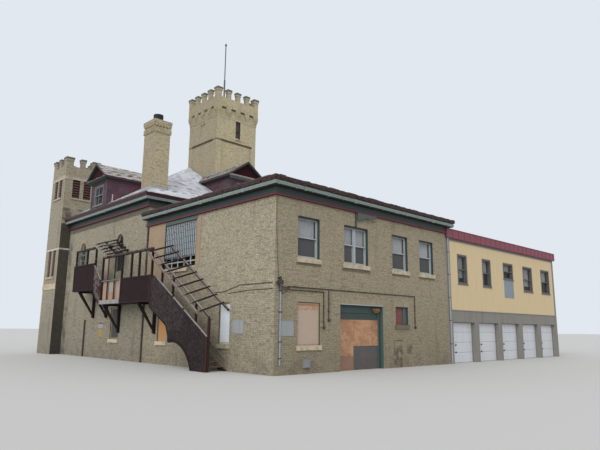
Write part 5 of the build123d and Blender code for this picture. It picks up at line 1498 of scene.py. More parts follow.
@dataclass
class Towers(Assembly):
    """The turret's blades and bands, the rough caps, the chimney's bricks and the hose tower's corbels."""

    turret: tuple[Span, Span] = ((-0.64, 1.62), (20.52, 22.78))
    hose_tower: tuple[Span, Span] = ((6.1, 9.4), (13.1, 16.4))
    chimney: tuple[Span, Span] = ((0.20, 1.17), (10.39, 11.51))
    turret_bands: tuple = (((11.385, 11.52), 0.014), ((6.615, 6.72), 0.008))
    pendants: tuple = (-1.6, -0.78, 0.0, 0.78, 1.6)
    corbels: tuple = (
        (0.19, (16.12, 16.24), 0.104), (0.16, (16.02, 16.12), 0.10),
        (0.12, (15.92, 16.02), 0.08), (0.07, (15.80, 15.92), 0.05),
    )
    dentil_pitch: float = 0.178
    pot: tuple[float, float] = (0.685, 10.95)

    def build(self) -> None:
        """Makes the towers' small parts."""
        piece = self.shop.piece
        piece("louvre_blades", self._louvres(), "louvre red", "teal_paint")
        caps = Form()
        for low, high in islands("tower_caps"):
            caps.rough(low, high, 0.09, 0.02)
        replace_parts(piece("weathered_caps", caps, "cap stone", "dressed_stone"), "tower_caps")
        piece("turret_lintels", Form(
            (wall, (span[0] - 0.012, span[1] + 0.012), levels, (-0.002, proud))
            for wall, span in shaft_faces(*self.turret)
            for levels, proud in self.turret_bands
        ), "band stone", "dressed_stone", 0.004)
        fitting = Form()
        fitting.rod((0.05, 20.52, 8.95), (0.05, 20.47, 8.95), 0.11, 16)
        fitting.rod((0.05, 20.47, 8.95), (0.05, 20.455, 8.95), 0.07, 16)
        piece("round_fitting", fitting, "pale pipe", "pipe_metal")
        piece("chimney_dentils", self._dentils(), "chimney brick", "chimney_brick")
        piece("chimney_haunching", self._haunching(), "concrete", "chimney_brick")
        piece("tower_dentils", self._corbels(), "tower brick", "buff_brick")
        south, north = self.hose_tower[1]
        piece("slit_frames", Form(
            (wall, *strip)
            for wall in (Wall("x", south, -1), Wall("x", north, 1))
            for strip in (
                ((7.65, 7.68), (14.36, 15.6), (-0.13, -0.02)), ((8.02, 8.05), (14.36, 15.6), (-0.13, -0.02)),
                ((7.65, 8.05), (14.9, 14.93), (-0.13, -0.04)), ((7.65, 8.05), (15.57, 15.6), (-0.13, -0.04)),
            )
        ), "teal paint", "teal_paint")

    def _louvres(self) -> Form:
        """Tilts blades in front of each louvred panel."""
        form = Form()
        centre = [sum(span) / 2 for span in self.turret]
        for low, high in islands("turret_louvres"):
            run = 0 if high.x - low.x > high.y - low.y else 1
            outward = 1 if low[1 - run] > centre[1 - run] else -1
            wall = Wall("xy"[run], high[1 - run] if outward > 0 else low[1 - run], outward)
            count = 7 if high.z - low.z < 1.5 else 10
            step = (high.z - low.z - 0.08) / count
            for foot in (low.z + 0.04 + step * index for index in range(count)):
                head, back = foot + step * 0.5, foot + step * 0.46
                blade = ((0.055, foot - 0.005), (0.067, foot + 0.005), (0.03, head), (0.018, back))
                form.mould(wall, blade, (low[run] + 0.042, high[run] - 0.042))
        return form

    def _dentils(self) -> Form:
        """Sets the dentil bricks and the thin courses under the chimney's head."""
        form = Form()
        for wall, span in shaft_faces(*self.chimney):
            for place in paces(span[0] + 0.02, span[1] - 0.08, self.dentil_pitch):
                form.slab(wall, (place, place + 0.095), (12.55, 12.745), (0.0, 0.06))
            for level in (12.215, 12.28, 12.345, 12.41):
                form.slab(wall, span, (level, level + 0.05), (0.04, 0.052))
        return form

    def _haunching(self) -> Form:
        """Slopes mortar up to the chimney pot."""
        form = Form()
        turns = [math.tau * step / 16 for step in range(16)]
        form.block(*[
            [(self.pot[0] + x * math.cos(turn), self.pot[1] + y * math.sin(turn), level) for turn in turns]
            for x, y, level in ((0.38, 0.42, 12.93), (0.38 * 0.74, 0.42 * 0.68, 12.99))
        ])
        return form

    def _corbels(self) -> Form:
        """Lays the stepped corbel bricks, the band over the slits and the course over the panels."""
        form = Form()
        for wall, (start, end) in shaft_faces(*self.hose_tower):
            middle = (start + end) / 2
            for place in self.pendants:
                for half, levels, reach in self.corbels:
                    low, high = max(start - 0.09, middle + place - half), min(end + 0.09, middle + place + half)
                    form.slab(wall, (low, high), levels, (0.0, reach))
            form.slab(wall, (start - 0.02, end + 0.02), (15.62, 15.72), (0.0, 0.022))
            form.slab(wall, (start + 0.42, end - 0.42), (14.06, 14.15), (-0.06, 0.03))
        return form


@dataclass
class Dormers(Assembly):
    """Boarded pediments, rakes and cheeks of the two dormers."""

    fronts: tuple = ((Wall("y", 0.15, -1), 16.85), (Wall("x", 10.1, -1), 6.25))
    cheeks: tuple = (
        (Wall("x", 15.74, -1), 0.17, 2.75), (Wall("x", 17.96, 1), 0.17, 2.75),
        (Wall("y", 5.14, -1), 10.12, 12.8), (Wall("y", 7.36, 1), 10.12, 12.8),
    )
    half: float = 1.11
    eave: float = 10.6
    rise: float = 1.09
    roof_half: float = 1.4
    boards: int = 14
    lap: float = 0.142
    cornice: tuple = (
        (0.0, 10.47), (0.05, 10.47), (0.08, 10.52), (0.2, 10.53), (0.24, 10.57), (0.25, 10.6), (0.0, 10.6),
    )

    def build(self) -> None:
        """Trims both dormers."""
        pediments, rakes, cornices, laps, sashes = (Form() for _ in range(5))
        for wall, centre in self.fronts:
            self._pediment(pediments, wall, centre)
            self._rakes(rakes, cornices, wall, centre)
            self._sash(sashes, wall, centre)
        for wall, start, end in self.cheeks:
            self._cheek(laps, wall, start, end)
        for name, form, finish, slot in (
            ("pediment_boards", pediments, "pediment red", "dormer_boarding"),
            ("dormer_rakes", rakes, "crown paint", "teal_paint"),
            ("dormer_cornices", cornices, "dormer trim paint", "teal_paint"),
            ("cheek_boards", laps, "dormer boarding", "dormer_boarding"),
            ("dormer_sash_bars", sashes, "window paint", "window_paint"),
        ):
            self.shop.piece(name, form, finish, slot)

    def _pediment(self, form: Form, wall: Wall, centre: float) -> None:
        """Boards the gable upright, under its slopes."""
        slope, base, pitch = self.rise / self.roof_half, self.eave + 0.11, 2.4 / self.boards
        for index in range(self.boards):
            a = centre - 1.2 + pitch * index
            b = a + pitch - 0.008
            under = [self.eave + (self.roof_half - abs(p - centre)) * slope - 0.02 for p in (a, b)]
            tops = [max(base + 0.004, top) for top in under]
            if max(tops) > base + 0.02:
                outline = [(a, base), (b, base), (b, tops[1]), (a, tops[0])]
                form.plate(wall, outline, (0.12, 0.14 + 0.004 * (index % 2)))

    def _rakes(self, rakes: Form, cornices: Form, wall: Wall, centre: float) -> None:
        """Runs the boards up both slopes and along the eaves, and the cornice across.

        Args:
            rakes: The mesh that takes the rake boards.
            cornices: The mesh that takes the cornice.
            wall: The dormer's front.
            centre: The middle of the front.
        """
        peak, front = self.eave + self.rise, wall.place - 0.3
        for hand in (-1, 1):
            foot = centre + hand * self.roof_half
            for form, low, high, drop, cover, reach in (
                (rakes, 0.045, 0.112, 0.065, -0.004, 0.330), (cornices, 0.0, 0.05, 0.135, 0.06, 0.316),
            ):
                lip = [(foot, self.eave + level) for level in (low, high)]
                lip += [(centre, peak - level) for level in (cover, drop)]
                form.plate(wall, lip[::hand], (0.299, reach))
            eave = Wall("x" if wall.axis == "y" else "y", foot, hand)
            rakes.slab(eave, (front, front + 3.0), (self.eave + 0.002, self.eave + 0.104), (-0.001, 0.014))
        span = (centre - self.roof_half, centre + self.roof_half)
        cornices.slab(wall, span, (self.eave, self.eave + 0.085), (0.299, 0.32))
        cornices.mould(wall, self.cornice, (centre - self.half, centre + self.half), (-0.9, 0.9))

    @staticmethod
    def _sash(form: Form, wall: Wall, centre: float) -> None:
        """Bars the window and lays its sill."""
        for a, b in ((-0.6, -0.55), (-0.02, 0.02), (0.55, 0.6)):
            form.slab(wall, (centre + a, centre + b), (9.07, 10.3), (-0.005, 0.012))
        for level in (9.07, 9.66, 10.26):
            form.slab(wall, (centre - 0.6, centre + 0.6), (level, level + 0.045), (-0.005, 0.014))
        form.slab(wall, (centre - 0.68, centre + 0.68), (9.0, 9.07), (0.0, 0.07))

    def _cheek(self, form: Form, wall: Wall, start: float, end: float) -> None:
        """Laps weatherboards up a cheek, as far as the main roof's slope.

        Args:
            form: The mesh that takes the boards.
            wall: The cheek's face.
            start: Where the boards start.
            end: Where they end at the top.
        """
        offset = (HIP_X if wall.axis == "x" else HIP_Y)[0]
        for level in paces(8.95, self.eave - 0.04, self.lap):
            high = min(10.58, level + 0.15)
            stop = min(end, (high - HIP_BASE) / HIP_PITCH + offset)
            if stop > start + 0.05:
                profile = ((0.0, level), (0.018, level), (0.004, high), (0.0, high))
                form.mould(wall, profile, (start, stop))


@dataclass
class FireEscape(Assembly):
    """Caps, battens, linings and loose boards of the timber escape on the side wall."""

    foot: tuple[float, float] = (2.76, 1.33)
    knee: tuple[float, float] = (7.05, 3.97)
    arch: tuple = ((5.70, 1.09), (4.53, 0.85), (3.89, 0.0))
    arch_steps: int = 18
    arch_edge: tuple = (
        (5.71, 1.1), (5.71, 1.36), (5.95, 1.86), (7.54, 2.67),
        (7.54, 2.61), (6.0, 1.8), (5.77, 1.34), (5.77, 1.1),
    )
    canopy_fall: float = 0.34
    wall_rail: float = -0.06
    brackets: tuple = ((8.70, 2.88), (12.50, 2.88), (14.10, 3.68), (15.80, 3.68))

    def build(self) -> None:
        """Dresses the escape."""
        scrap = Form()
        scrap.box((-1.25, -0.72), (12.15, 12.75), (5.98, 6.01))
        for name, form, finish, bevel in (
            ("panel_cap_strips", self._caps(), "pale timber", 0.0),
            ("panel_battens", self._battens(), "escape timber", 0.004),
            ("arch_lining", self._lining(), "black timber", 0.0),
            ("loose_slats", self._slats(), "pale timber", 0.0),
            ("canopy_caps", self._canopy(), "pale timber", 0.0),
            ("panel_nails", self._nails(), "dark pipe", 0.0),
            ("bracket_braces", self._braces(), "black timber", 0.004),
            ("roof_scrap", scrap, "teal scrap", 0.0),
        ):
            self.shop.piece(name, form, finish, "escape_timber", bevel)

    def _rake(self, share: float) -> tuple[float, float, float]:
        """Finds the point at a share of the way up the raking top of the stair panel."""
        along, level = (a + (b - a) * share for a, b in zip(self.foot, self.knee))
        return (PANEL.place + 0.012, along, level + 0.018)

    def _caps(self) -> Form:
        """Lays what is left of the cap boards on the panels."""
        form = Form([
            (PANEL, (10.62, 12.94), (2.885, 3.075), (0.0, 0.012)),
            (PANEL, (10.6, 10.68), (3.0, 4.1), (-0.03, 0.012)),
        ])
        share = 0.01
        while share < 0.97:
            length = random.uniform(0.05, 0.16)
            wide = random.uniform(0.045, 0.075)
            form.bar(self._rake(share), self._rake(min(0.99, share + length)), wide, 0.032)
            share += length + random.choice((0.004, 0.004, 0.03))
        form.bar((-1.03, 12.95, 4.19), (-1.03, 13.85, 5.02), 0.06, 0.03)
        return form

    def _battens(self) -> Form:
        """Nails battens over the joints of the panels and rails along their edges."""
        form = Form([
            *((PANEL, (a, a + 0.07), levels, (0.0, 0.016)) for a, levels in (
                (10.52, (2.88, 4.11)), (13.9, (3.68, 5.14)), (16.55, (3.68, 5.14)),
            )),
            *((PANEL, span, (level, level + 0.06), (0.0, 0.02)) for span, level in (
                ((7.56, 10.59), 2.872), ((7.56, 10.59), 4.06), ((13.86, 16.62), 3.672), ((13.86, 16.62), 5.09),
            )),
            (PANEL, (2.76, 2.85), (0.0, 1.36), (0.0, 0.02)), (PANEL, (7.46, 7.545), (2.68, 4.14), (0.0, 0.018)),
        ])
        (start, low), (end, high) = self.foot, self.knee
        for share in (0.33, 0.62):
            along, top = start + (end - start) * share, low - 0.03 + (high - low) * share
            form.slab(PANEL, (along, along + 0.012), (max(0.1, top - 1.3), top), (0.0, 0.006))
        return form

    def _lining(self) -> Form:
        """Bends the dark lining round the arched underside of the stair panel."""
        form = Form()
        first, middle, last = (Vector(point) for point in self.arch)
        normals = [Vector((a.y - b.y, b.x - a.x)) for a, b in ((first, middle), (middle, last))]
        gap = (last - first) / 2
        turn = gap.cross(normals[1]) / normals[0].cross(normals[1])
        centre = (first + middle) / 2 + normals[0] * turn
        radius = (first - centre).length
        start, end = (math.atan2(point.y - centre.y, point.x - centre.x) for point in (first, last))
        for index in range(self.arch_steps):
            ring = []
            for ahead, out in ((0, -0.02), (1, -0.02), (1, 0.12), (0, 0.12)):
                angle = start + (end - start) * (index + ahead) / self.arch_steps
                spot = centre + Vector((math.cos(angle), math.sin(angle))) * (radius + out)
                ring.append((spot.x, max(0.002, spot.y)))
            form.plate(PANEL, ring, (-0.2, 0.008))
        form.plate(PANEL, self.arch_edge, (-0.1, 0.004))
        return form

    def _slats(self) -> Form:
        """Lays the remaining laths on the upper canopy."""
        form = Form()
        for reach in (-0.98, -0.82, -0.5, -0.34):
            base = 5.85 + self.canopy_fall * (reach - self.wall_rail)
            form.bar((reach, 12.15, base), (reach, 13.4, base + 1.25 * 0.77 / 1.45), 0.1, 0.016)
        return form

    def _canopy(self) -> Form:
        """Caps the middle and the wall rail of the stair canopy."""
        form = Form()
        for reach, wide, deep, lift in ((-1.0, 0.05, 0.02, 0.052), (self.wall_rail, 0.06, 0.018, 0.051)):
            lift += self.canopy_fall * (reach - self.wall_rail)
            form.bar((reach, 3.16, 2.66 + lift), (reach, 7.52, 5.515 + lift), wide, deep)
        return form

    def _nails(self) -> Form:
        """Drives rusty nail heads along the battens."""
        form = Form()
        for along, base in ((8.835, 3.0), (9.735, 3.0), (10.555, 3.0), (15.035, 3.8)):
            for step in range(6):
                form.pin(PANEL, (along, base + 0.2 * step), (0.014, 0.02), 0.009, 6)
        for along in (3.0 + 0.23 * step for step in range(18)):
            level = self.foot[1] + (along - self.foot[0]) * 0.6149 - 0.07
            form.pin(PANEL, (along, level), (-0.001, 0.006), 0.01, 6)
        return form

    def _braces(self) -> Form:
        """Adds the gusset boards that thicken the knee brackets."""
        form = Form()
        for along, under in self.brackets:
            form.box((-0.98, -0.02), (along - 0.025, along + 0.115), (under - 0.05, under - 0.002))
            form.box((-0.14, -0.002), (along - 0.02, along + 0.11), (under - 1.45, under - 0.05))
        return form


@dataclass
class Fittings(Assembly):
    """Plates, clips, boxes and wires fixed to the walls."""

    plates: tuple = (
        (REAR, 0.32, 0.99, 1.43, 2.0), (SIDE, 1.8, 2.56, 1.49, 2.04), (SIDE, 14.5, 15.15, 1.64, 1.98),
    )
    rim: float = 0.018
    conduits: tuple = (
        (2.64, (2.0, 2.6), 1.70), (2.94, (2.4, 2.9), 2.0), (9.03, (2.1, 2.8), 1.76),
    )
    cables: tuple = ((0.10, 0.05, 0.017), (0.22, 0.065, 0.014), (0.34, 0.08, 0.016), (0.16, 0.095, 0.012))
    corner_wire: tuple = ((0.03, 6.78), (0.045, 5.6), (0.11, 4.4), (0.2, 3.5))

    def build(self) -> None:
        """Makes the small fittings."""
        piece = self.shop.piece
        piece("plate_borders", self._borders(), "pale pipe", "box_grey")
        yellow = Form([(SIDE, (14.55, 15.05), (1.16, 1.6), (0.0, 0.008))])
        piece("yellow_plate", yellow, "yellow paint", "box_grey", 0.002)
        red = Form([(SIDE, (14.52, 15.13), (1.86, 1.965), (0.0122, 0.0145))])
        piece("red_strip", red, "red paint", "box_grey")
        piece("pipe_clips", self._clips(), "dark pipe", "pipe_metal", 0.003)
        piece("service_boxes", self._service(), "dark pipe", "pipe_metal", 0.006)
        wire = Form()
        wire.wire([(along, -0.008, level) for along, level in self.corner_wire], 0.009, 6)
        piece("corner_wire", wire, "dark pipe", "pipe_metal")
        meter = Form([
            (REAR, (1.495, 1.795), (0.25, 0.54), (0.12, 0.128)),
            (REAR, (1.47, 1.82), (0.55, 0.566), (0.0, 0.135)),
        ])
        meter.pin(REAR, (1.76, 0.4), (0.127, 0.14), 0.012, 8)
        piece("meter_door", meter, "grey enamel", "box_grey", 0.003)
        lamp = Form([(REAR, (4.66, 4.74), (6.16, 6.8), (0.0, 0.045))])
        lamp.bar((4.7, -0.09, 6.74), (5.9, -0.16, 6.50), 0.03, 0.03)
        piece("lamp_arm", lamp, "teal paint", "box_grey", 0.004)

    def _borders(self) -> Form:
        """Edges the plates and screws them on at the corners."""
        form, rim = Form(), self.rim
        for wall, a, b, low, high in self.plates:
            for level in (low, high - rim):
                form.slab(wall, (a, b), (level, level + rim), (0.0125, 0.018))
            for along in (a, b - rim):
                form.slab(wall, (along, along + rim), (low + rim, high - rim), (0.0125, 0.018))
            for along in (a + 0.045, b - 0.045):
                for level in (low + 0.045, high - 0.045):
                    form.pin(wall, (along, level), (0.012, 0.019), 0.011, 8)
        return form

    def _clips(self) -> Form:
        """Clips the conduits, the service pipe and the downpipes to the walls."""
        form = Form()
        for low, places in ((3.27, [0.95 + 1.08 * step for step in range(8)]), (3.15, [1.3, 2.2])):
            for along in places:
                form.slab(REAR, (along, along + 0.03), (low, low + 0.06), (0.0, 0.05))
        for along, levels, base in self.conduits:
            for level in levels:
                form.slab(REAR, (along - 0.04, along + 0.04), (level, level + 0.03), (0.0, 0.05))
            form.slab(REAR, (along - 0.05, along + 0.05), (base, base + 0.1), (0.0, 0.07))
        for level in (0.6, 1.2, 2.3, 3.1):
            form.slab(REAR, (0.21, 0.33), (level, level + 0.035), (0.0, 0.07))
        for level in (1.0, 2.2, 3.4, 4.6, 5.8):
            form.slab(REAR, (12.17, 12.3), (level, level + 0.03), (0.0, 0.1))
            form.slab(SIDE, (9.89, 10.01), (level + 0.3, level + 0.33), (0.0, 0.1))
        return form

    def _service(self) -> Form:
        """Hangs the cables from the service box at the near corner."""
        form = Form([(REAR, (0.14, 0.36), (3.36, 3.52), (0.0, 0.1))])
        parts = [step / 8 for step in range(9)]
        for sag, reach, thick in self.cables:
            spots = [(0.02 + 0.7 * k, -reach, 3.44 - 0.14 * k - sag * math.sin(math.pi * k)) for k in parts]
            form.wire(spots, thick)
        form.rod((0.27, -0.035, 3.4), (0.27, -0.035, 3.66), 0.04, 10)
        form.rod((0.27, -0.02, 3.62), (0.13, -0.02, 3.58), 0.03, 10)
        return form


# Limits that marks share: the ways a face looks, and the places of faces and boards.
LEFT = (-1.1, -0.5)
DOWN = (-1.1, -0.5)
UP = (0.5, 1.1)
REAR_FACE = (-0.1, 0.02)
SIDE_FACE = (-0.01, 0.01)
SIDE_BOARDS = (0.05, 0.09)
REAR_BOARDS = (0.1, 0.3)
FINISHES: tuple[Finish, ...] = (
    BrickFinish("buff brick", marks=(
        # Faces that look along -x are darkened, the main block's more: painted shade.
        painted_shade((0.93, 0.96, 1.0), side=LEFT),
        painted_shade((0.88, 0.9, 0.93), side=LEFT, y=(10.1, 22.0)),
        painted_shade((0.93, 0.94, 0.88), side=LEFT, y=(20.5, 22.9)),
        # A bluish dark strip on the side wall next to the turret: painted shade in the corner.
        painted_shade((0.47, 0.52, 0.6), x=SIDE_FACE, y=(19.9, 20.54), z=(-0.1, 8.25), patchy=1.3),
        # A dark band under the main cornice on the side wall: painted shadow of the cornice.
        painted_shade((0.55, 0.53, 0.52), x=SIDE_FACE, y=(10.0, 20.1), z=(7.62, 7.92)),
        Mark("#4c443a", x=(7.3, 8.0), y=REAR_FACE, z=(-0.1, 1.25), share=0.8, patchy=3.4),
        Mark("#4c443a", x=(8.35, 8.8), y=REAR_FACE, z=(0.6, 1.25), share=0.75, patchy=3.0),
        # Dark bands just under the sills of the rear windows: painted shadow of the sills.
        Mark("#5a5040", x=(1.1, 2.5), y=REAR_FACE, z=(4.18, 4.29), share=0.7),
        Mark("#5a5040", x=(3.8, 5.7), y=REAR_FACE, z=(4.14, 4.29), share=0.7),
        Mark("#5a5040", x=(7.3, 8.7), y=REAR_FACE, z=(4.18, 4.29), share=0.6),
        Mark("#5a5040", x=(9.5, 10.9), y=REAR_FACE, z=(4.18, 4.29), share=0.6),
        # The wing's whole rear face a little darker: painted shade.
        Mark("#706250", x=(-0.1, 12.1), y=REAR_FACE, share=0.16),
        # A dark band at the top of the side walls: painted shadow under the cornice.
        Mark("#5c564a", x=SIDE_FACE, y=(0.0, 20.5), z=(7.6, 7.95), share=0.5),
    )),
    BrickFinish("turret brick", light="#aca38c", middle="#9a927e", dark="#7e7667", pale="#bcb39c", marks=(
        # The turret face beside the side wall is near black below the roof and darker in patches above it, and
        # its -x faces are darker: painted shade.
        painted_shade((0.2, 0.2, 0.21), x=(-0.66, 0.02), y=(20.5, 20.54), z=(-0.1, 8.35)),
        painted_shade((0.45, 0.45, 0.45), x=(-0.66, 0.9), y=(20.5, 20.54), z=(8.3, 9.4), patchy=1.6),
        painted_shade((0.88, 0.89, 0.92), side=LEFT),
    )),
    BrickFinish(
        "tower brick", light="#ccc09d", middle="#bcb190", dark="#9e9377", mortar="#968e7a", pale="#d4c8a6",
        stain=0.2, marks=(
        # Faces that look along -x are darkened: painted shade.
        painted_shade((0.62, 0.62, 0.66), side=LEFT),
        # A dark band just under the course over the panels: painted shadow of that course.
        Mark("#5c5242", x=(6.0, 9.1), z=(13.94, 14.07), share=0.75),
        Mark("#968c76", z=(15.7, 17.7), share=0.35, patchy=1.5),
    )),
    BrickFinish(
        "chimney brick", light="#c8bb9c", middle="#b8ab8d", dark="#928770", pale="#c8bea0", stain=0.3,
        # Faces that look along -x are darkened: painted shade.
        marks=(painted_shade((0.72, 0.71, 0.73), side=LEFT),),
    ),
    SoldierFinish("soldier bricks"),
    ShingleFinish("pale shingles", marks=(Mark("#483432", side=(-1.1, -0.2), z=(8.5, 8.98), share=0.85),)),
    ShingleFinish(
        "dormer shingles", light="#bab8b6", middle="#84766e", dark="#423430", lichen_and_butt_shade="#684030",
        lichen_share=0.55, patch=8.5, base=10.5, pitch_sine=0.614,
        # Faces that look down are near black: painted shade.
        marks=(Mark("#2e3636", facing=DOWN),),
    ),
    TimberFinish("escape timber", marks=(
        Mark("#8c949c", y=(10.6, 12.95), z=(2.86, 3.09)),
        Mark("#686e66", y=(10.65, 12.9), z=(4.05, 4.13)),
        Mark("#402a24", x=(-1.1, -0.8), y=(2.7, 2.86), share=0.8),
        Mark("#88847e", x=(-0.75, 0.0), y=(1.2, 4.2), z=(0.2, 2.2), share=0.8),
        Mark("#807670", facing=UP, share=0.7, patchy=3.0),
        Mark("#706a62", z=(5.34, 5.42), share=0.6, patchy=5.0),
        Mark("#706a62", z=(6.0, 6.08), share=0.6, patchy=5.0),
    )),
    TimberFinish("canopy timber", paint="#3e3230", worn=0.3, marks=(
        Mark("#7a7069", x=(-1.4, -1.2), y=(2.0, 7.7), share=0.8),
        Mark("#968e88", y=(2.0, 7.7), facing=UP, share=0.7),
        Mark("#9e9a92", y=(11.9, 13.6), facing=(0.4, 1.1), share=0.6, patchy=2.0),
        Mark("#96948e", x=(-1.4, -1.2), y=(11.9, 13.6), share=0.8),
    )),
    TimberFinish(
        "escape boarding", board=1.22, worn=0.7, paint="#271c1d", bare="#413939", seam="#1c1515", marks=(
        Mark("#2c1c21", y=(13.849, 16.7), share=0.55),
        Mark("#807876", y=(12.9, 13.8485), share=0.6, patchy=3.5),
        Mark("#5c3e3e", y=(12.9, 13.8485), share=0.4, patchy=6.0),
        Mark("#2a1e1e", y=(7.55, 10.61), share=0.5),
        Mark("#543026", y=(7.5, 7.68), z=(2.6, 4.2), share=0.6, patchy=3.0),
        Mark("#4a4545", y=(2.7, 7.5), share=0.3, patchy=12.0),
        Mark("#54504f", y=(4.6, 7.5), z=(1.6, 4.0), share=0.3, patchy=8.0),
    )),
    TimberFinish("deck boards", grain=Grain.FLAT, board=0.14, worn=0.8),
    TimberFinish("step boards", paint="#8c725c", bare="#a48e78", grain=Grain.FLAT, board=0.14, worn=0.6),
    TimberFinish("pale timber", paint="#9c9692", bare="#b8b4ae", seam="#463e3a", worn=0.7),
    TimberFinish("black timber", paint="#262020", bare="#3c3634"),
    TimberFinish("teal scrap", paint="#86968a", bare="#a0aaa0", grain=Grain.FLAT),
    TimberFinish(
        "dormer boarding", paint="#54424e", bare="#807880", seam="#282026", board=0.142, worn=0.7,
        grain=Grain.ALONG, marks=(
        Mark("#4a585a", share=0.55, z=(8.5, 11.0), patchy=2.4),
        Mark("#783e4a", z=(8.5, 11.0), share=0.5, patchy=5.0),
    )),
    TimberFinish("pediment red", paint="#38171c", bare="#542e30", board=0.17, worn=0.4),
    PaintFinish("teal paint", "#2c403e", "#4c5c58", peel=0.2, marks=(
        Mark("#5c2a32", z=(6.79, 6.895), y=(-1, 10.09)),
        Mark("#5c2a32", z=(7.9, 8.005)),
    )),
    PaintFinish(
        "gutter green", "#748682", "#929c98", peel=0.2, dirt_share=0.3,
        # Faces that look down, under the eaves and gutters, are near black: painted shade.
        marks=(Mark("#241e1c", facing=DOWN),),
    ),
    PaintFinish("crown paint", "#401a1e", "#2a181a", peel=0.35, dirt_share=0.35, roughness=0.5),
    PaintFinish(
        "broken tiles", "#3e2b2a", "#221d1d", peel=0.9, dirt_share=0.6, grain=14.0, roughness=0.85,
        relief=0.006,
    ),
    PaintFinish("red moulding", "#562830", "#6c484d", peel=0.3),
    PaintFinish(
        "felt roof", "#868486", "#6e6a6c", peel=0.3, dirt_share=0.4, roughness=0.9,
        marks=(Mark("#543634", z=(7.2, 7.486), share=0.95),),
    ),
    PaintFinish("grey render", "#87847e", "#706b64", peel=0.1, roughness=0.9, relief=0.004),
    PaintFinish("cream facing", "#ccb790", "#d2c19f", peel=0.0, dirt_share=0.1, roughness=0.85),
    PaintFinish("pale trim", "#a8a296", "#968e82", peel=0.1, dirt_share=0.2),
    PaintFinish("fascia red", "#7c3c4a", "#8a4e5c", peel=0.1, dirt_share=0.2),
    PaintFinish("window paint", "#a4aaac", "#b8bcbe", peel=0.2, dirt_share=0.25, marks=(
        Mark("#54504e", x=(12.1, 26.4), y=(-0.5, 0.45), share=0.9),
        Mark("#686c6c", z=(8.9, 10.4), share=0.85),
    )),
    PaintFinish("blue grey panel", "#7c8692", "#90989e", peel=0.0, dirt_share=0.2),
    PaintFinish("grey enamel", "#7c8084", "#969898", peel=0.1),
    PaintFinish("white enamel", "#969a9c", "#828280", peel=0.15, dirt_share=0.3),
    PaintFinish("grey green paint", "#4a544e", "#686e66", peel=0.35, dirt_share=0.5),
    PaintFinish("dark frame", "#585655", "#74706c", peel=0.2),
    PaintFinish("door paint", "#ced1d6", "#babcbe", peel=0.05, dirt_share=0.2, roughness=0.45),
    PaintFinish("pleated blind", "#f4f6fa", "#e2e6ec", peel=0.0, dirt_share=0.1, roughness=0.95),
    PaintFinish("grey blind", "#ced2d4", "#b4b8b8", peel=0.0, dirt_share=0.2, roughness=0.95),
    # Near-black board paint that stands for shade: painted shadow at window heads and behind the arched windows.
    PaintFinish("painted shadow black", "#1a1818", "#262220", peel=0.0),
    PaintFinish("yellow paint", "#9e8246", "#867048", peel=0.3),
    PaintFinish("red paint", "#844646", "#6e403e", peel=0.2),
    PaintFinish(
        "cap stone", "#686863", "#4e4e4a", peel=0.5, dirt_share=0.4, roughness=0.9, relief=0.01, grain=18.0,
    ),
    PaintFinish("louvre red", "#623434", "#402a28", peel=0.4),
    PaintFinish("pale teal", "#425854", "#62726c", peel=0.25),
    PaintFinish("pink paint", "#b08680", "#967870", peel=0.3),
    # Near black on the louvred panels between the blades: painted shade of the dark belfry inside.
    PaintFinish("louvre shadow black", "#1e1e1e", "#2c2a28", peel=0.1),
    PaintFinish(
        "dormer trim paint", "#2a3232", "#484a48", peel=0.3,
        marks=(Mark("#84827e", y=(9.7, 10.15), z=(10.5, 10.7), share=0.8),),
    ),
    StoneFinish("dressed stone", light="#beb198", dark="#8a7c66", marks=(
        Mark("#585044", x=(7.4, 8.6), y=(-0.1, 0.3), z=(1.6, 1.94), share=0.85),
        Mark("#9e9684", z=(9.9, 11.7), share=0.6),
        Mark("#808270", y=(2.5, 3.7), x=(-0.1, 0.3), share=0.5),
    )),
    StoneFinish("band stone", light="#c4bbaa", dark="#9c9382"),
    StoneFinish("concrete", light="#96938c", dark="#706c66"),
    PlyFinish("plywood", face="#b07e5a", pale="#ba9676", grey="#785c4a", marks=(
        Mark("#ccd4de", x=SIDE_BOARDS, y=(2.7, 3.56), share=0.95),
        Mark("#b68452", x=SIDE_BOARDS, y=(7.6, 8.6), share=0.85),
        Mark("#b2a094", x=SIDE_BOARDS, y=(14.2, 15.2), share=0.8),
        Mark("#303a38", x=SIDE_BOARDS, y=(12.6, 13.7), share=0.95),
        Mark("#b0a194", x=(1.1, 2.5), y=(0.05, 0.09), share=0.85),
        Mark("#a47044", x=(1.1, 2.5), y=(0.05, 0.09), z=(2.6, 2.75), share=0.9),
        Mark("#a47044", x=(1.1, 2.5), y=(0.05, 0.09), z=(2.42, 2.62), share=0.6, patchy=5.0),
        Mark("#40383e", z=(14.3, 15.7), share=0.9),
        Mark("#66303a", x=(7.4, 8.6), y=(0.1, 0.2), z=(1.9, 2.8), share=0.85),
        Mark("#545a5a", x=(4.7, 6.4), y=REAR_BOARDS, z=(-0.1, 1.001), share=0.95),
        Mark("#545a5a", x=(8.07, 9.76), y=(21.0, 22.0), z=(-0.1, 1.001), share=0.95),
        Mark("#705a54", z=(-0.1, 0.6), share=0.7),
        Mark("#925c3e", x=(5.9, 6.4), y=REAR_BOARDS, z=(1.0, 2.2), share=0.6, patchy=2.6),
        Mark("#966246", x=(3.6, 6.6), y=REAR_BOARDS, z=(0.5, 2.2), share=0.4, patchy=1.6),
    )),
    PlyFinish("pink board", face="#968067", pale="#9d8971", grey="#806e5d"),
    PlyFinish(
        "landing board", face="#a07a62", pale="#a68c7a", grey="#806656",
        marks=(Mark("#96948e", y=(11.4, 12.2), z=(3.5, 4.1), share=0.8),),
    ),
    PlyFinish("weathered board", face="#aa8c70", pale="#b8a088", grey="#786454"),
    DoorFinish("sectional door"),
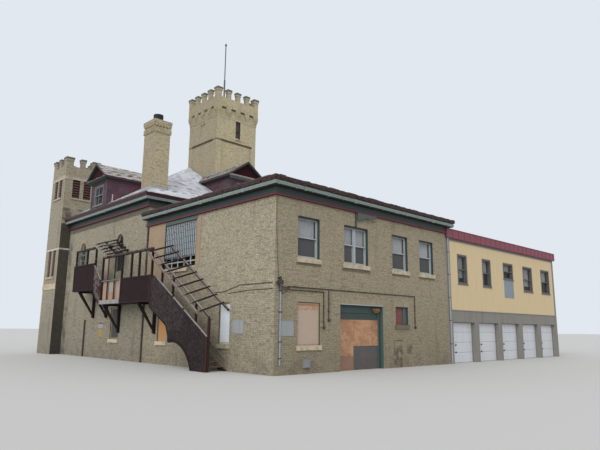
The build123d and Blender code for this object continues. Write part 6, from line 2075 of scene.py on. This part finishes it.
    GlassFinish("window glass"),
    MetalFinish("dark pipe", "#423a36"),
    MetalFinish("wall pipe", "#463a34", rust_share=0.2, marks=(Mark("#969a9e", x=(12.0, 12.4)),)),
    MetalFinish("conduit", "#423a36", marks=(Mark("#8e98a6", x=(0.2, 0.34), z=(0.3, 3.39)),)),
    MetalFinish("pale pipe", "#969a9e", rust_share=0.2),
    MetalFinish("lead sheet", "#9ea0a4", rust_share=0.05, metallic=0.1, roughness=0.7),
    MetalFinish("pale bars", "#929aa0", rust_share=0.12, metallic=0.1),
    MetalFinish("screen backing", "#323638", rust_share=0.15, metallic=0.1),
    MetalFinish("insect mesh", "#4e5052", rust_share=0.05, metallic=0.1, roughness=0.85),
    MetalFinish("dark sheet", "#585e5e", rust_share=0.2),
    MetalFinish("rusty sheet", "#805c42", rust_share=0.7, roughness=0.75),
    MetalFinish("sooty pot", "#222020", rust_share=0.2, roughness=0.8),
    MetalFinish("pole paint", "#5c5c5e", rust_share=0.3),
)
NODES: dict[str, str] = {
    "buff brick": "wing_rear_wall wing_side_wall wing_right_wall main_side_wall main_rear_wall "
    "main_front_wall main_right_wall",
    "turret brick": "turret turret_battlements",
    "tower brick": "hose_tower hose_tower_battlements",
    "chimney brick": "chimney",
    "pale shingles": "main_hip_roof",
    "felt roof": "wing_roof garage_roof",
    "dormer shingles": "dormer_roofs",
    "escape timber": "escape_frame escape_brackets stair_stringers stair_rails",
    "step boards": "stair_treads",
    "canopy timber": "escape_canopies",
    "escape boarding": "escape_panels",
    "deck boards": "escape_decks",
    "dormer boarding": "dormer_walls",
    "teal paint": "friezes doorway_frame dormer_trim",
    "louvre shadow black": "turret_louvres",
    "gutter green": "wing_eaves main_eaves",
    "crown paint": "main_roof_edge",
    "grey render": "garage_front_wall garage_back_wall garage_end_wall",
    "cream facing": "garage_facings",
    "fascia red": "garage_fascia",
    "window paint": "sash_windows arched_windows",
    "dark frame": "garage_sills",
    "blue grey panel": "garage_panel",
    "grey enamel": "meter_box",
    "grey green paint": "wall_lamp",
    "white enamel": "notice_plates",
    "dressed stone": "stone_sills tower_stonework",
    "cap stone": "tower_caps",
    "concrete": "ground_floors upper_floors tower_decks",
    "plywood": "boarded_windows doorway_boards",
    "sectional door": "garage_doors",
    "window glass": "window_glass",
    "wall pipe": "wall_pipes",
    "conduit": "conduits",
    "screen backing": "screened_window",
    "sooty pot": "chimney_pot",
    "pole paint": "flagpole",
}


def dress(shop: Workshop) -> None:
    """Builds every finish and lays it on its solids.

    Args:
        shop: The workshop that takes the finishes.
    """
    for finish in FINISHES:
        shop.finishes[finish.name] = finish.build()
    bare = set(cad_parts)
    for finish, names in NODES.items():
        for node in names.split():
            bare.discard(node)
            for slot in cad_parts[node].material_slots:
                slot.material = shop.finishes[finish]
    for node in sorted(bare):
        log.warning("node %s has no finish", node)


@dataclass
class Studio:
    """Floor, soft light and the camera at the photographed angle."""

    camera_place: tuple = (-13.514, -15.477, 1.699)
    yaw: float = 43.71
    pitch: float = 10.80
    roll: float = 0.55
    lens: float = 32.685
    sensor: float = 36.0
    sight: float = 2000.0
    floor_reach: float = 400.0
    floor_level: float = -0.002
    floor_tone: Colour = "#bebebc"
    backdrop: Colour = "#e1e8ef"
    sky: Colour = (0.95, 0.97, 1.0)
    sky_strength: float = 0.8
    sun: Colour = (1.0, 0.98, 0.95)
    sun_strength: float = 1.85
    sun_spread: float = 60.0
    sun_way: tuple = (-1.41, -0.63, 1.08)

    def build(self) -> None:
        """Makes the floor, the lights and the camera."""
        self._floor()
        self._sky()
        self._sun()
        self._camera()

    def _floor(self) -> None:
        """Lays the plain floor."""
        mesh = bmesh.new()
        reach, level = self.floor_reach, self.floor_level
        corners = ((-reach, -reach), (reach, -reach), (reach, reach), (-reach, reach))
        mesh.faces.new([mesh.verts.new((x, y, level)) for x, y in corners])
        data = bpy.data.meshes.new("floor")
        mesh.to_mesh(data)
        mesh.free()
        floor = bpy.data.objects.new("floor", data)
        bpy.context.scene.collection.objects.link(floor)
        data.materials.append(Graph("studio floor").finish(self.floor_tone, 0.9))

    def _sky(self) -> None:
        """Lights the building from all round, and shows its own tone where the camera sees past it."""
        world = bpy.data.worlds.new("studio sky")
        bpy.context.scene.world = world
        world.use_nodes = True
        nodes, links = world.node_tree.nodes, world.node_tree.links
        nodes.clear()
        path = nodes.new("ShaderNodeLightPath")
        seen = path.outputs["Is Camera Ray"]
        for ray in ("Is Glossy Ray", "Is Transmission Ray"):
            either = nodes.new("ShaderNodeMath")
            either.operation = "MAXIMUM"
            links.new(seen, either.inputs[0])
            links.new(path.outputs[ray], either.inputs[1])
            seen = either.outputs[0]
        mix, out = nodes.new("ShaderNodeMixShader"), nodes.new("ShaderNodeOutputWorld")
        links.new(seen, mix.inputs[0])
        for place, (tone, strength) in enumerate(((self.sky, self.sky_strength), (self.backdrop, 1.0)), 1):
            ground = nodes.new("ShaderNodeBackground")
            ground.inputs["Color"].default_value = (*linear(tone), 1.0)
            ground.inputs["Strength"].default_value = strength
            links.new(ground.outputs[0], mix.inputs[place])
        links.new(mix.outputs[0], out.inputs["Surface"])

    def _sun(self) -> None:
        """Hangs a wide, weak sun."""
        lamp = bpy.data.lights.new("soft sun", "SUN")
        lamp.energy = self.sun_strength
        lamp.angle = math.radians(self.sun_spread)
        lamp.color = self.sun
        sun = bpy.data.objects.new("soft sun", lamp)
        sun.rotation_euler = Vector(self.sun_way).to_track_quat("Z", "Y").to_euler()
        bpy.context.scene.collection.objects.link(sun)

    def _camera(self) -> None:
        """Stands the camera where the photograph was taken from."""
        yaw, pitch, roll = (math.radians(angle) for angle in (self.yaw, self.pitch, self.roll))
        ahead = Vector((math.sin(yaw) * math.cos(pitch), math.cos(yaw) * math.cos(pitch), math.sin(pitch)))
        right = Vector((math.cos(yaw), -math.sin(yaw), 0.0))
        up = right.cross(ahead)
        tilted = math.cos(roll) * right + math.sin(roll) * up
        crown = -math.sin(roll) * right + math.cos(roll) * up
        data = bpy.data.cameras.new("viewpoint")
        data.lens = self.lens
        data.sensor_width = self.sensor
        data.clip_end = self.sight
        camera = bpy.data.objects.new("viewpoint", data)
        turned = Matrix((tilted, crown, -ahead)).transposed().to_4x4()
        camera.matrix_world = Matrix.Translation(self.camera_place) @ turned
        bpy.context.scene.collection.objects.link(camera)
        bpy.context.scene.camera = camera


def main() -> None:
    """Builds the scene in order."""
    logging.basicConfig(level=logging.INFO, format="%(name)s: %(message)s")
    random.seed(11)
    bpy.context.scene.view_settings.view_transform = "Standard"
    shop = Workshop()
    dress(shop)
    for assembly in (
        RoofCovering, Cornices, Windows, SideOpenings, Doorway, GarageFront, Towers, Dormers, FireEscape,
        Fittings,
    ):
        assembly(shop).build()
    Studio().build()


if __name__ == "__main__":
    main()
